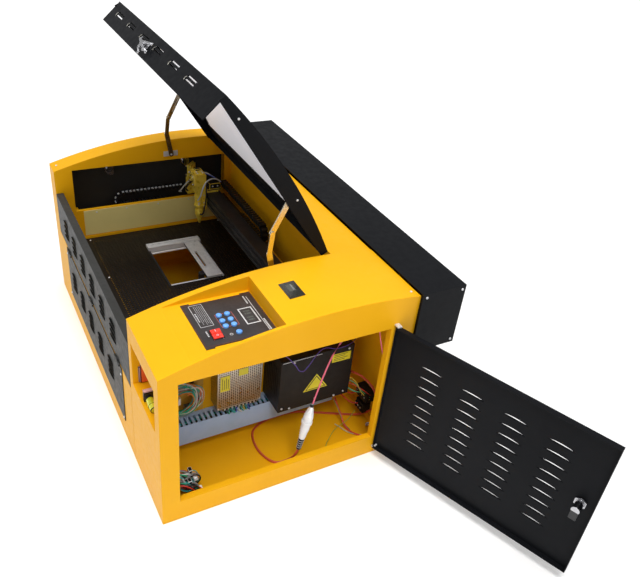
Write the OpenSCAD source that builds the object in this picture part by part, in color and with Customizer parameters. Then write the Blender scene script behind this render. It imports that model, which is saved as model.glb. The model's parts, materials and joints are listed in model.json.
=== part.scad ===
// Desktop laser cutter with an arched sheet-metal cabinet, a top lid, an electronics
// bay on the right and a laser tube housing behind.
// Places are stations in millimetres from the cabinet's left side, front and floor.
// The model's origin is the middle of the cabinet's footprint on the ground.

/* [Cabinet] */
// Width of the cabinet, left to right
body_w = 1020; // [1020:1:1024]
// Depth of the cabinet, front to rear
body_d = 600; // [600:1:602]
// Height of the arched top at its crest
arch_top = 484; // [484:0.5:485]
// Radius of the arched top
arch_r = 1377.5; // [1370:2.5:1385]
// Station of the arch's crest, from the front
arch_y = 415; // [410:1:416]
// Thickness of the cabinet sheet
sheet = 2; // [2:0.1:2.2]

/* [Lid] */
// Angle that the lid is modelled open at
lid_open = 63.5; // [63.5:0.5:64]
// Station of the lid hinge, from the front
lid_hinge_y = 480; // [480:1:481]
// Height of the lid hinge
lid_hinge_z = 480; // [480:0.5:480.5]
// Length of the lid's front lip
lip_h = 64; // [58:1:64]

/* [Side door] */
// Angle that the side door is modelled open at
door_open = 112.3; // [100:0.1:115]
// Height of the door
door_h = 378; // [376:1:378]
// Width of the door
door_w = 518; // [517:1:518]
// Depth of the door pan
pan = 13.5; // [13:0.5:13.5]

/* [Work bed] */
// Height of the bed surface
bed_z = 190; // [190:1:191]
// Width of the clamp opening
clamp_w = 208; // [206:1:208]

/* [Hidden] */

yellow = [0.95, 0.68, 0.08];
black = [0.13, 0.13, 0.14];
steel = [0.75, 0.76, 0.78];
brass = [0.75, 0.62, 0.2];
round_fn = 48;
eps = 0.5;

// Sections and openings, as stations
left_w = 62;
right_x = 809;
lid_x = [66, 803];
bay_opening_y = [40.5, 535];
bay_opening_z = [58, 398];
left_opening_y = [40, 535];
left_opening_z = [58, 404];
rear_wall_y = 543;
return_depth = 14;

// Control panel pocket
pocket_x = [824, 1012];
pocket_y = [66, 270];
pocket_z = 440;
plate_x = [833, 990];
plate_y = [109, 268];
button_places = [[895, 172], [915, 172], [934, 172], [895, 190.5], [915, 190.5],
  [934, 190.5], [961, 190.5]];
button_r = 6.4;
rocker_x = [939, 967];
rocker_y = [134, 156];

// Clamp opening in the bed
clamp_x = 190;
clamp_y = [226, 392];
clamp_rod_x = [202, 178 + clamp_w];
clamp_rod_r = 3;

// Gantry and laser path
beam_z = 365;
mirror_x = 45;
head_x = 100;
head_y = 425;
lens_r = 11.5;
rail_z = 240;
rail_r = 6;
rail_left_x = 44;
rail_right_x = 786;
beam_y = [444, 484];
shaft_y = 520;
idler_y = 70;
belt_x = [[54, 57], [760, 763]];
shaft_z = 256;
shaft_r = 4;
shaft_hole_r = 7;
pulley_r = 8;

// Running clearance of every pin and shaft, on the radius
fit = 0.05;
pin_r = 1.5;
knuckle_r = 4;

// Pivots of the lid stays, when the lid is open
stay_foot = [343, 440];
stay_elbow = [335, 556];
stay_head = [373, 632];
stay_bend = [330, 506];

// Side door pivot
door_pivot = [1029, 546.5];
door_z0 = 27;
door_edge_y = 552;

lid_knuckles = [[130, 210], [395, 475], [660, 740]];
flap_knuckles = [[170, 210], [425, 465], [680, 720]];
flap_pivot = [-2.4, 226.6];
flap_knuckle_r = 2.4;
flap_z0 = 229;

// ---------- helpers: boxes, rods and profiles placed by stations ----------

module span(x, y, z)
  translate([x[0] - body_w / 2, y[0] - body_d / 2, z[0]])
    cube([x[1] - x[0], y[1] - y[0], z[1] - z[0]]);

module rod_x(x, y, z, r, fn = round_fn)
  translate([x[0] - body_w / 2, y - body_d / 2, z])
    rotate([0, 90, 0]) cylinder(r = r, h = x[1] - x[0], $fn = fn);

module rod_y(x, y, z, r, fn = round_fn)
  translate([x - body_w / 2, y[0] - body_d / 2, z])
    rotate([-90, 0, 0]) cylinder(r = r, h = y[1] - y[0], $fn = fn);

module rod_z(x, y, z, r, fn = round_fn)
  translate([x - body_w / 2, y - body_d / 2, z[0]])
    cylinder(r = r, h = z[1] - z[0], $fn = fn);

// Extrudes a side view, drawn as (station from the front, height), between two stations
module side_profile(x)
  translate([x[0] - body_w / 2, -body_d / 2, 0])
    rotate([90, 0, 90]) linear_extrude(x[1] - x[0]) children();

module arch_disc(drop) translate([arch_y, arch_top - arch_r]) circle(r = arch_r - drop, $fn = 360);

module arch_strip(y, top, bottom)
  intersection() {
    difference() {
      arch_disc(top);
      arch_disc(bottom);
    }
    translate([y[0], 380]) square([y[1] - y[0], 140]);
  }

module under_arch(y, z0, drop)
  intersection() {
    arch_disc(drop);
    translate([y[0], z0]) square([y[1] - y[0], 520 - z0]);
  }

module swing_x(y, z, angle)
  translate([0, y - body_d / 2, z]) rotate([angle, 0, 0])
    translate([0, body_d / 2 - y, -z]) children();

module swing_z(p, angle)
  translate([p[0] - body_w / 2, p[1] - body_d / 2, 0]) rotate([0, 0, angle])
    translate([body_w / 2 - p[0], body_d / 2 - p[1], 0]) children();

module mirror_stay(side)
  if (side == "left") children();
  else translate([lid_x[0] + lid_x[1] - body_w, 0, 0]) mirror([1, 0, 0]) children();

// A flat bar between two side-view points, with round ends
module bar_2d(a, b, width) {
  run = b - a;
  length = norm(run);
  translate(a) rotate(atan2(run[1], run[0])) union() {
    translate([0, -width / 2]) square([length, width]);
    circle(r = width / 2, $fn = round_fn);
    translate([length, 0]) circle(r = width / 2, $fn = round_fn);
  }
}

// ---------- cabinet ----------

module base_pan() color(yellow) {
  far_x = body_w - sheet;
  far_y = body_d - sheet;
  flange_top = 22;
  span([0, body_w], [0, body_d], [0, sheet]);
  difference() {
    union() {
      span([sheet, far_x], [sheet, 2 * sheet], [0, flange_top]);
      span([sheet, far_x], [far_y - sheet, far_y], [0, flange_top]);
      span([sheet, 2 * sheet], [sheet, far_y], [0, flange_top]);
      span([far_x - sheet, far_x], [sheet, far_y], [0, flange_top]);
    }
    // Slits that the two inner walls stand in
    for (x = [left_w - sheet, right_x])
      span([x - 0.2, x + sheet + 0.2], [0, body_d], [sheet, flange_top + 1]);
  }
}

module rear_panel() color(yellow) {
  wall_y = [body_d - sheet, body_d];
  through = [wall_y[0] - 1, wall_y[1] + 1];
  port = [330, 200];
  difference() {
    span([0, body_w], wall_y, [sheet, 469]);
    span([20, 70], through, [340, 392]);
    rod_y(930, through, 400, 12);
    rod_y(port[0], through, port[1], 50);
    span([880, 928], through, [78, 106]);
    for (x = [700, 740]) rod_y(x, through, 250, 6);
    for (x = [640, 670, 700, 730]) span([x, x + 20], through, [60, 140]);
  }
  difference() {
    rod_y(port[0], [wall_y[0], wall_y[1] + 40], port[1], 52);
    rod_y(port[0], [wall_y[0] - 1, wall_y[1] + 41], port[1], 50);
  }
}

module door_returns(x, y, z) {
  span(x, [y[0] - sheet, y[0]], [z[0] - sheet, z[1] + sheet]);
  span(x, [y[1], y[1] + sheet], [z[0] - sheet, z[1] + sheet]);
  span(x, [y[0], y[1]], [z[0] - sheet, z[0]]);
  span(x, [y[0], y[1]], [z[1], z[1] + sheet]);
}

module left_section() color(yellow) {
  far_y = body_d - sheet;
  inner = [left_w - sheet, left_w];
  side_profile([0, left_w]) arch_strip([0, body_d], 0, sheet);
  difference() {
    side_profile([0, sheet]) under_arch([0, far_y], sheet, sheet);
    span([-1, sheet + 1], left_opening_y, left_opening_z);
  }
  door_returns([sheet, sheet + return_depth - 2], left_opening_y, left_opening_z);
  side_profile([sheet, left_w]) under_arch([0, sheet], sheet, sheet);
  side_profile(inner) under_arch([sheet, 50], sheet, sheet);
  side_profile(inner) under_arch([50, 520], 418, sheet);
  difference() {
    side_profile(inner) under_arch([520, far_y], sheet, sheet);
    rod_x([inner[0] - 1, inner[1] + 1], shaft_y, shaft_z, shaft_hole_r);
  }
}

module right_section() color(yellow) {
  far_y = body_d - sheet;
  outer = [body_w - sheet, body_w];
  front_cut = [832, 992];
  front_cut_z = [258, 372];
  meter_x = [886, 938];
  meter_y = [315, 348];
  difference() {
    side_profile([right_x, body_w]) arch_strip([0, body_d], 0, sheet);
    span(pocket_x, [60, pocket_y[1]], [pocket_z, 500]);
    span(meter_x, meter_y, [460, 500]);
  }
  difference() {
    side_profile(outer) under_arch([0, far_y], sheet, sheet);
    span([outer[0] - 1, outer[1] + 1], bay_opening_y, bay_opening_z);
  }
  door_returns([outer[0] - return_depth, outer[0]], bay_opening_y, bay_opening_z);
  difference() {
    side_profile([right_x + sheet, outer[0]]) under_arch([0, sheet], sheet, sheet);
    span(front_cut, [-1, sheet + 1], front_cut_z);
  }
  // Recess tray behind the front cut-out
  difference() {
    span([front_cut[0] - sheet, front_cut[1] + sheet], [sheet, 46],
      [front_cut_z[0] - sheet, front_cut_z[1] + sheet]);
    span(front_cut, [1, 44], front_cut_z);
  }
  // Pocket that the control panel lies in
  floor_z = [pocket_z - sheet, pocket_z];
  difference() {
    side_profile([pocket_x[0] - sheet, pocket_x[1] + sheet])
      under_arch([pocket_y[0], pocket_y[1] + sheet], floor_z[0], 0.5);
    span(pocket_x, [60, pocket_y[1]], [pocket_z, 500]);
    span([880, 975], [130, 256], [430, pocket_z + 1]);
  }
}

module bay_divider() color(yellow)
  difference() {
    side_profile([right_x, right_x + sheet]) under_arch([sheet, body_d - sheet], sheet, sheet);
    rod_x([right_x - 1, right_x + sheet + 1], 560, 60, 20);
    rod_x([right_x - 1, right_x + sheet + 1], 90, 320, 15);
  }

module front_frame() color(yellow) {
  top = 226;
  difference() {
    span([left_w, right_x], [0, sheet], [sheet, top]);
    span([165, 725], [-1, sheet + 1], [72, 212]);
  }
  span([left_w, right_x], [sheet, 20], [top - sheet, top]);
}

module rear_deck() color(yellow) {
  front = lid_hinge_y + 5;
  side_profile([left_w, right_x]) arch_strip([front, body_d - sheet], 0, sheet);
  side_profile([left_w, right_x]) under_arch([front, front + sheet], 455, sheet);
  difference() {
    side_profile([left_w, right_x]) under_arch([rear_wall_y, rear_wall_y + sheet], sheet, sheet);
    span([200, 600], [rear_wall_y - 1, rear_wall_y + sheet + 1], [205, 245]);
  }
  for (k = lid_knuckles) {
    for (x = [[k[0], k[0] + 24], [k[1] - 24, k[1]]]) {
      difference() {
        union() {
          rod_x(x, lid_hinge_y, lid_hinge_z, knuckle_r);
          span(x, [lid_hinge_y, front + 1], [lid_hinge_z + pin_r + 0.3, lid_hinge_z + 3.5]);
        }
        rod_x([x[0] - 1, x[1] + 1], lid_hinge_y, lid_hinge_z, pin_r);
      }
    }
  }
}

// One group of horizontal louvre slots, cut through a front plate
module slot_group(x, z, count, width, pitch, y)
  for (i = [0 : count - 1])
    span([x - width / 2, x + width / 2], y, [z + i * pitch, z + i * pitch + 5]);

// Knuckle of the flap hinge, with the leaf that joins it to its panel
module flap_knuckle(x, leaf_y, leaf_z, bore_r)
  difference() {
    union() {
      rod_x(x, flap_pivot[0], flap_pivot[1], flap_knuckle_r);
      span(x, leaf_y, leaf_z);
    }
    rod_x([x[0] - 1, x[1] + 1], flap_pivot[0], flap_pivot[1], bore_r);
  }

module lower_vent_panel() color(black) {
  difference() {
    span([152, 738], [-sheet, 0], [60, 224]);
    for (i = [0 : 4]) slot_group(232 + 99 * i, 118, 4, 46, 15, [-sheet - 1, 1]);
  }
  for (k = flap_knuckles)
    for (x = [[k[0], k[0] + 12], [k[1] - 12, k[1]]])
      flap_knuckle(x, [-2 * flap_knuckle_r, 0], [220, flap_pivot[1]], pin_r);
}

module front_flap() color(black) {
  difference() {
    union() {
      span([left_w + 1, right_x - 1], [0, sheet], [flap_z0, 352]);
      span([left_w + 1, right_x - 1], [sheet, 20], [350, 352]);
      for (x = [left_w + 1, right_x - 3]) span([x, x + sheet], [sheet, 16], [flap_z0, 350]);
    }
    for (i = [0 : 5]) slot_group(176 + 99 * i, 262, 4, 46, 15, [-1, sheet + 1]);
  }
  for (k = flap_knuckles)
    flap_knuckle([k[0] + 12.5, k[1] - 12.5], [-2 * flap_knuckle_r, eps], [flap_pivot[1], 232], pin_r + fit);
}

module left_door() color(black) {
  x = [-pan, -0.3];
  y = [door_edge_y - door_w, door_edge_y];
  z = [door_z0, door_z0 + door_h];
  difference() {
    span(x, y, z);
    span([x[0] + sheet, x[1] + 1], [y[0] + sheet, y[1] - sheet], [z[0] + sheet, z[1] - sheet]);
    for (lock_y = [170, 410]) rod_x([x[0] - 1, x[1] + 1], lock_y, 378, 8.95 + fit);
  }
}

// ---------- bed and clamp ----------

module table_frame() color(yellow) {
  x = [64, 752];
  y = [64, 510];
  ring_z = [bed_z - 10, bed_z - 2];
  lip_z = [bed_z - 2, bed_z + 8];
  difference() {
    span(x, y, ring_z);
    span([x[0] + 26, x[1] - 28], [y[0] + 28, y[1] - 28], [ring_z[0] - 1, ring_z[1] + 1]);
  }
  difference() {
    span(x, y, [lip_z[0] - 0.5, lip_z[1]]);
    span([x[0] + sheet, x[1] - sheet], [y[0] + sheet, y[1] - sheet], [lip_z[0] - 1, lip_z[1] + 1]);
  }
  for (px = [70, 716]) for (py = [70, 474]) span([px, px + 30], [py, py + 30], [sheet, ring_z[0] + 1]);
  // Wall on the left, with the flange that the left rail and the shaft's bearing hang from
  wall_x = [58, 60];
  flange_z = [283, 285];
  difference() {
    span(wall_x, [45, 541], [ring_z[0], flange_z[1]]);
    rod_x([wall_x[0] - 1, wall_x[1] + 1], shaft_y, shaft_z, shaft_hole_r);
  }
  span([59, 65], [64, 510], ring_z);
  span([51, wall_x[1]], [45, 541], flange_z);
  for (tab_y = [[45, 60], [505, 541]]) span([34, wall_x[1]], tab_y, flange_z);
  // Tray that carries the drag chain, on two arms
  tray_z = [261, 263];
  span([12, 32], [54, 506], tray_z);
  for (arm_y = [[54, 59], [500, 506]]) span([31, 59], arm_y, tray_z);
}

module bed_plate() color([0.2, 0.17, 0.14])
  difference() {
    span([66.2, 749.8], [66.2, 507.8], [bed_z - 2, bed_z]);
    span([clamp_x, clamp_x + clamp_w], clamp_y, [bed_z - 3, bed_z + 1]);
  }

module side_skirt() color([0.58, 0.52, 0.3]) span([60, 61.5], [72, 512], [199, 282]);

module clamp_frame() color(steel) {
  x0 = clamp_x;
  x1 = clamp_x + clamp_w;
  top = bed_z + 8;
  bar_z = [bed_z - 14, bed_z - 3];
  difference() {
    span([167, x0], clamp_y, [bed_z, top]);
    span([174, 178], [clamp_y[0] - 4, clamp_y[1] + 4], [top - 3, top + 1]);
  }
  span([x0, x0 + 3], clamp_y, [bar_z[0], top]);
  span([x0, x1], [clamp_y[0], clamp_y[0] + 6], bar_z);
  span([x0, x1], [clamp_y[1] - 6, clamp_y[1]], bar_z);
  span([x1 - 5, x1], clamp_y, bar_z);
  for (cx = clamp_rod_x) rod_y(cx, [clamp_y[0] + 5, clamp_y[1] - 5], bed_z - 8, clamp_rod_r);
}

module clamp_jaw() color(steel) {
  x = [clamp_x + 3.6, clamp_x + clamp_w - 0.6];
  difference() {
    union() {
      span(x, [338, 384], [bed_z + 1, bed_z + 7]);
      for (cx = clamp_rod_x) span([cx - 6, cx + 6], [346, 376], [bed_z - 14, bed_z + 2]);
      // Knob of the jaw on its tab
      rod_z(364, 332, [bed_z - 24, bed_z + 1.5], 9);
      span([355, 373], [331, 342], [bed_z - 4, bed_z + 2]);
    }
    for (cx = clamp_rod_x) rod_y(cx, [330, 390], bed_z - 8, clamp_rod_r + fit);
    span([254, 341], [350, 357], [bed_z, bed_z + 8]);
  }
}

// ---------- motion system ----------

module y_rails() color(steel) {
  for (x = [rail_left_x, rail_right_x]) rod_y(x, [47, 541], rail_z, rail_r);
  for (y = [[45, 53], [533, 541]]) {
    span([rail_left_x - 10, rail_left_x + 10], y, [rail_z - 8, 283]);
    span([rail_right_x - 10, right_x], y, [rail_z - 8, rail_z + 12]);
  }
  // Front idlers of the two belts
  for (x = belt_x) rod_x(x, idler_y, shaft_z, pulley_r);
  rod_x([50, 58], idler_y, shaft_z, 3);
  rod_x([757, right_x], idler_y, shaft_z, 3);
}

module belt_loop(x) {
  out = pulley_r + 1.5;
  difference() {
    union() {
      rod_x(x, idler_y, shaft_z, out);
      rod_x(x, shaft_y, shaft_z, out);
      span(x, [idler_y, shaft_y], [shaft_z - out, shaft_z + out]);
    }
    rod_x([x[0] - 1, x[1] + 1], idler_y, shaft_z, pulley_r);
    rod_x([x[0] - 1, x[1] + 1], shaft_y, shaft_z, pulley_r + 0.3);
    span([x[0] - 1, x[1] + 1], [idler_y, shaft_y], [shaft_z - pulley_r - 0.2, shaft_z + pulley_r + 0.2]);
  }
}

module y_belts() color(black)
  for (x = belt_x) belt_loop(x);

module drive_shaft() color(steel) {
  rod_x([44.5, 766], shaft_y, shaft_z, shaft_r);
  for (x = belt_x) rod_x(x, shaft_y, shaft_z, pulley_r);
  for (x = [[52.5, 54], [57, 57.8], [758.5, 760], [763, 764.5]]) rod_x(x, shaft_y, shaft_z, pulley_r + 3);
}

module y_motor() color(black) {
  // Hollow-shaft motor on the rear wall, and the bearing at the shaft's left end
  difference() {
    span([700, 748], [499, rear_wall_y], [shaft_z - 21, shaft_z + 21]);
    rod_x([699, 749], shaft_y, shaft_z, shaft_r + fit);
  }
  difference() {
    span([46, 52], [shaft_y - 8, shaft_y + 10], [shaft_z - 9, 283]);
    rod_x([45, 53], shaft_y, shaft_z, shaft_r + fit);
  }
}

module y_chain() color(black) {
  // A drag chain lying in its tray, bent over at its front end
  x = [14, 30];
  bend = [200, 288];
  outer = 25;
  inner = 12;
  difference() {
    union() {
      rod_x(x, bend[0], bend[1], outer);
      span(x, [bend[0], 392], [bend[1] - outer, bend[1] + outer]);
    }
    rod_x([x[0] - 1, x[1] + 1], bend[0], bend[1], inner);
    span([x[0] - 1, x[1] + 1], [bend[0], 400], [bend[1] - inner, bend[1] + inner]);
    span([x[0] - 1, x[1] + 1], [340, 400], [bend[1] - outer - 1, bend[1]]);
  }
}

module x_beam() color(black) {
  difference() {
    span([68, 752], beam_y, [268, 318]);
    span([72, 748], [beam_y[0] + 5, beam_y[1] - 5], [273, 313]);
  }
  // Arms out to the rails, each with a drop plate and a bearing block
  arm_y = [440, 488];
  span([34, 68], arm_y, [288, 294]);
  span([62, 72], beam_y, [284, 318]);
  span([36, 49], arm_y, [250, 290]);
  span([748, 804], arm_y, [288, 294]);
  span([768, 804], arm_y, [250, 290]);
  difference() {
    union() {
      span([35, 53], arm_y, [225, 255]);
      span([768, 804], arm_y, [225, 255]);
    }
    for (x = [rail_left_x, rail_right_x]) rod_y(x, [439, 489], rail_z, rail_r + fit);
  }
  // Chain shelf behind the beam
  span([80, 440], [483, 514], [286, 288]);
  // Head motor on the beam's right end
  span([727, 767], [446, 482], [317, 354]);
}

module x_belt() color(black) {
  ends = [82, 732];
  y = [440.3, 443.9];
  z = 293;
  outer = 11;
  inner = 9.5;
  difference() {
    union() {
      for (x = ends) rod_y(x, y, z, outer);
      span(ends, y, [z - outer, z + outer]);
    }
    for (x = ends) rod_y(x, [y[0] - 1, y[1] + 1], z, inner);
    span(ends, [y[0] - 1, y[1] + 1], [z - inner, z + inner]);
  }
  // Pulleys on stubs from the beam
  for (x = ends) rod_y(x, [y[0], y[1] + 0.1], z, inner);
}

module x_chain() color(black) {
  y = [491, 511];
  bend = 400;
  difference() {
    union() {
      rod_y(bend, y, 318, 30);
      span([100, bend], y, [288, 348]);
    }
    rod_y(bend, [y[0] - 1, y[1] + 1], 318, 15);
    span([99, bend], [y[0] - 1, y[1] + 1], [303, 333]);
    span([99, 240], [y[0] - 1, y[1] + 1], [287, 332]);
  }
}

// A round mirror in its holder, turned to send the beam around a corner
module mirror_holder(x, y, z, turn)
  translate([x - body_w / 2, y - body_d / 2, z]) rotate([0, 0, turn]) {
    translate([-19, -5, -22]) cube([38, 5, 44]);
    translate([-17, 2, -20]) cube([34, 5, 40]);
    rotate([-90, 0, 0]) translate([0, 0, -1]) cylinder(r = 13, h = 11, $fn = round_fn);
    for (sx = [-13, 13])
      for (sz = [-15, 15])
        translate([sx, -9, sz]) rotate([-90, 0, 0]) cylinder(r = 2, h = 12, $fn = 24);
  }

module mirror_2_mount() color(brass) {
  span([39, 62], [398, 486], [294, 300]);
  span([44, 50], [398, 408], [299, 346]);
  span([39, 58], [398, 440], [299, 318]);
  mirror_holder(mirror_x - 7, head_y - 7, beam_z, -45);
}

module laser_head() color(brass) {
  difference() {
    union() {
      span([78, 122], [432, 439.8], [262, 325]);
      span([78, 122], [439, 478], [319, 325]);
      span([80, 120], [407, 436], [318, 350]);
      span([76, 124], [403, 436], [348, 382]);
      rod_z(head_x, head_y - 2, [268, 320], 15);
    }
    // Path of the beam, and the sleeve that the lens tube slides in
    rod_x([70, 118], head_y, beam_z, 7);
    rod_z(head_x, head_y - 2, [255, 312], lens_r + fit);
    rod_z(head_x, head_y - 2, [300, beam_z], 6);
  }
}

module lens_nozzle() color(brass) {
  translate([head_x - body_w / 2, head_y - 2 - body_d / 2, 0]) {
    translate([0, 0, 240]) cylinder(r = lens_r, h = 55, $fn = round_fn);
    translate([0, 0, 238]) cylinder(r = 14.5, h = 16, $fn = round_fn);
    translate([0, 0, 206]) cylinder(r1 = 3.5, r2 = 13, h = 32.5, $fn = round_fn);
  }
}

// ---------- laser source ----------

module tube_housing() color(black) {
  x = [-25, 1027];
  y = [600, 722];
  z = [315, 478.6];
  difference() {
    span(x, [y[0] + 0.1, y[1]], z);
    span([x[0] + sheet, x[1] - sheet], [y[0] - 1, y[1] - sheet], [z[0] + sheet, z[1] - sheet]);
  }
  span([x[0], -0.5], [y[0] + 0.1, y[0] + 2], z);
  span([body_w + 0.5, x[1]], [y[0] + 0.1, y[0] + 2], z);
}

module laser_tube() color([0.75, 0.85, 0.88, 0.5]) {
  difference() {
    rod_x([70, 980], 661, beam_z, 27.5);
    rod_x([73, 977], 661, beam_z, 25.5);
  }
  difference() {
    rod_x([60, 940], 661, beam_z, 9);
    rod_x([59, 939], 661, beam_z, 7);
  }
  rod_x([940, 1000], 661, beam_z, 7);
}

module tube_mounts() color(steel)
  for (x = [[200, 222], [800, 822]])
    difference() {
      union() {
        span(x, [628, 694], [317, beam_z]);
        rod_x(x, 661, beam_z, 32);
      }
      rod_x([x[0] - 1, x[1] + 1], 661, beam_z, 27.5);
    }

module mirror_1_mount() color(brass) {
  span([22, 66], [640, 690], [317, 323]);
  span([31, 41], [664, 675], [322, 346]);
  mirror_holder(mirror_x - 7, 668, beam_z, -135);
}

// ---------- electronics bay ----------

module hv_supply() color(black) {
  x = [right_x + sheet, 900];
  span(x, [330, 530], [107, 267]);
  for (y = [346, 514]) span([x[0], x[0] + 2], [y - 8, y + 8], [104, 274]);
  for (y = [344, 516]) rod_x([899, 902], y, 118, 3);
  rod_y(870, [529, 548], 150, 8);
}

module dc_supply() color(steel) {
  x = [right_x + sheet, 853];
  span(x, [190, 304], [125, 340]);
  span([x[0], 840], [196, 298], [113, 126]);
}

module control_board() color([0.1, 0.35, 0.16]) {
  span([816, 818], [52, 168], [112, 262]);
  for (y = [58, 162]) for (z = [118, 256]) rod_x([right_x + sheet, 816.5], y, z, 3);
  for (z = [130, 162, 194, 226]) span([817, 830], [140, 152], [z, z + 22]);
  span([817, 822], [84, 112], [180, 208]);
  span([817, 828], [60, 72], [130, 240]);
}

module wire_duct() color([0.6, 0.65, 0.72]) {
  x = [right_x + sheet, 850];
  y = [56, 520];
  z = [41, 102];
  wall = 2;
  pitch = 12.5;
  difference() {
    span(x, y, z);
    span([x[0] + wall, x[1] - wall], [y[0] - 1, y[1] + 1], [z[0] + wall, z[1] - wall]);
    for (i = [0 : 35]) {
      slot_y = y[0] + 8 + i * pitch;
      span([x[0] + 12, x[1] - 1], [slot_y, slot_y + 5.5], [z[0] - 1, z[0] + wall + 1]);
      span([x[0] + 12, x[1] - 1], [slot_y, slot_y + 5.5], [z[1] - wall - 1, z[1] + 1]);
    }
  }
}

// In-line high-voltage connector, hanging by its leads
connector_top = [985, 372, 190];
connector_lean = 10;

module hv_connector() color("white")
  translate([connector_top[0] - body_w / 2, connector_top[1] - body_d / 2, connector_top[2]])
    rotate([-connector_lean, 0, 0]) mirror([0, 0, 1]) {
      cylinder(r1 = 4, r2 = 11, h = 26, $fn = round_fn);
      translate([0, 0, 26]) cylinder(r = 11, h = 36, $fn = round_fn);
      translate([0, 0, 44]) cylinder(r = 13, h = 6, $fn = round_fn);
      translate([0, 0, 62]) cylinder(r1 = 11, r2 = 7, h = 36, $fn = round_fn);
      translate([0, 0, 98]) cylinder(r1 = 7, r2 = 5, h = 34, $fn = round_fn);
    }

// Hand-chosen route points of the two high-voltage leads, as stations
red_route = [[985, 349, 59], [985, 343, 45], [977, 338, 25], [967, 327, 9], [962, 306, 5.6],
  [943, 290, 5.6], [912, 281, 5.6], [882, 281, 5.6], [854, 288, 5.6], [839, 298, 5.6], [825, 320, 5.6],
  [818, 352, 5.6], [817, 390, 5.6], [821, 425, 5.6], [836, 460, 5.6], [864, 515, 5.6], [887, 556, 7],
  [902, 577, 14], [915, 587, 28], [930, 590, 48], [948, 590, 76], [951, 588, 105],
  [932, 582, 135], [900, 567, 150], [870, 549, 150]];
pink_route = [[985, 373, 192], [982, 384, 228], [976, 406, 290], [966, 440, 345],
  [950, 510, 382], [934, 572, 398], [930, 610, 400], [940, 640, 405], [975, 652, 404],
  [1000, 660, 390], [1008, 661, 372], [1001, 661, 366]];

function station(p) = [p[0] - body_w / 2, p[1] - body_d / 2, p[2]];

// Puts in-between points on the smooth curve through a route
function curve_point(a, b, c, d, t) =
  (2 * b + (c - a) * t + (2 * a - 5 * b + 4 * c - d) * t * t
    + (3 * b - a - 3 * c + d) * t * t * t) / 2;

function smooth(route, steps) =
  let (n = len(route))
    [for (i = [0 : n - 2]) for (k = [0 : i == n - 2 ? steps : steps - 1])
      curve_point(route[max(i - 1, 0)], route[i], route[i + 1], route[min(i + 2, n - 1)], k / steps)];

function route_dir(route, i) =
  let (a = route[max(i - 1, 0)], b = route[min(i + 1, len(route) - 1)]) (b - a) / norm(b - a);

function ring_side(d) = let (c = cross(d, abs(d[2]) < 0.8 ? [0, 0, 1] : [0, 1, 0])) c / norm(c);

// A tube of eight sides swept along a route
module lead(route, r) {
  sides = 8;
  rings = len(route);
  points = [
    for (i = [0 : rings - 1])
      let (d = route_dir(route, i), s = ring_side(d), u = cross(s, d))
        for (k = [0 : sides - 1])
          station(route[i]) + r * (cos(360 * k / sides) * s + sin(360 * k / sides) * u)
  ];
  walls = [
    for (i = [0 : rings - 2])
      for (k = [0 : sides - 1])
        let (n = (k + 1) % sides)
          [i * sides + k, (i + 1) * sides + k, (i + 1) * sides + n, i * sides + n]
  ];
  first = [for (k = [0 : sides - 1]) k];
  last = [for (k = [sides - 1 : -1 : 0]) (rings - 1) * sides + k];
  polyhedron(points = points, faces = concat(walls, [first], [last]), convexity = 8);
}

module bay_wiring() color([0.8, 0.2, 0.15]) {
  lead(smooth(red_route, 4), 3);
  lead(smooth(pink_route, 2), 2);
}

module rear_fittings() color(black) {
  difference() {
    union() {
      span([876, 932], [600, 603], [72, 112]);
      span([881, 927], [570, 601], [79, 105]);
    }
    span([888, 920], [582, 604], [84, 100]);
  }
  for (x = [700, 740]) {
    difference() {
      union() {
        rod_y(x, [580, 628], 250, 5.9);
        rod_y(x, [600, 606], 250, 10);
      }
      rod_y(x, [570, 640], 250, 3);
    }
  }
}

// ---------- controls ----------

module control_panel() color(black) {
  difference() {
    span(plate_x, plate_y, [pocket_z, pocket_z + 2]);
    for (p = button_places) rod_z(p[0], p[1], [pocket_z - 1, pocket_z + 3], button_r + 0.5);
    span(rocker_x, rocker_y, [pocket_z - 1, pocket_z + 3]);
    // Shallow steps in the side edges
    span([plate_x[0] - 1, plate_x[0] + 4], [128, 244], [pocket_z - 1, pocket_z + 3]);
    span([plate_x[1] - 4, plate_x[1] + 1], [128, 244], [pocket_z - 1, pocket_z + 3]);
  }
  // Switch board behind the buttons, on two posts
  span([884, 972], [150, 250], [420, 422]);
  for (p = [[887, 240], [969, 240], [887, 156]]) rod_z(p[0], p[1], [421, pocket_z + 1], 2.5);
}

module displays() color([0.12, 0.13, 0.12]) {
  span([891, 945], [216, 245], [pocket_z + 2, pocket_z + 3]);
  // Current meter set in the arched top, tilted to follow it
  swing_x(331.5, 481.47, 3.47) {
    span([883, 941], [313, 350], [481.5, 483]);
    span([886.5, 937.5], [317, 346], [460, 482]);
  }
}

module recess_socket() color(black) {
  // Key switch block on the recess floor and a push plate on its rear wall
  span([888, 897], [6, 26], [258, 284]);
  rod_x([896, 904], 16, 270, 8);
  span([850, 890], [38, 44], [300, 340]);
}

module rocker_switch() color([0.85, 0.15, 0.1]) {
  x = [rocker_x[0] + 1, rocker_x[1] - 1];
  y = [rocker_y[0] + 0.6, rocker_y[1] - 0.6];
  mid_x = (x[0] + x[1]) / 2;
  translate([mid_x - body_w / 2, 0, pocket_z + 2]) rotate([0, 8, 0])
    translate([body_w / 2 - mid_x, 0, -pocket_z - 2])
      union() {
        difference() {
          span([x[0] + 0.3, x[1] - 0.3], y, [pocket_z - 4, pocket_z + 6]);
          span([mid_x - 2, mid_x + 2], [y[0] - 1, y[1] + 1], [pocket_z + 5, pocket_z + 7]);
        }
        // Trunnions that it tilts on
        rod_y(mid_x, [y[0] - 0.4, y[1] + 0.4], pocket_z + 2, 2);
      }
}

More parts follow.
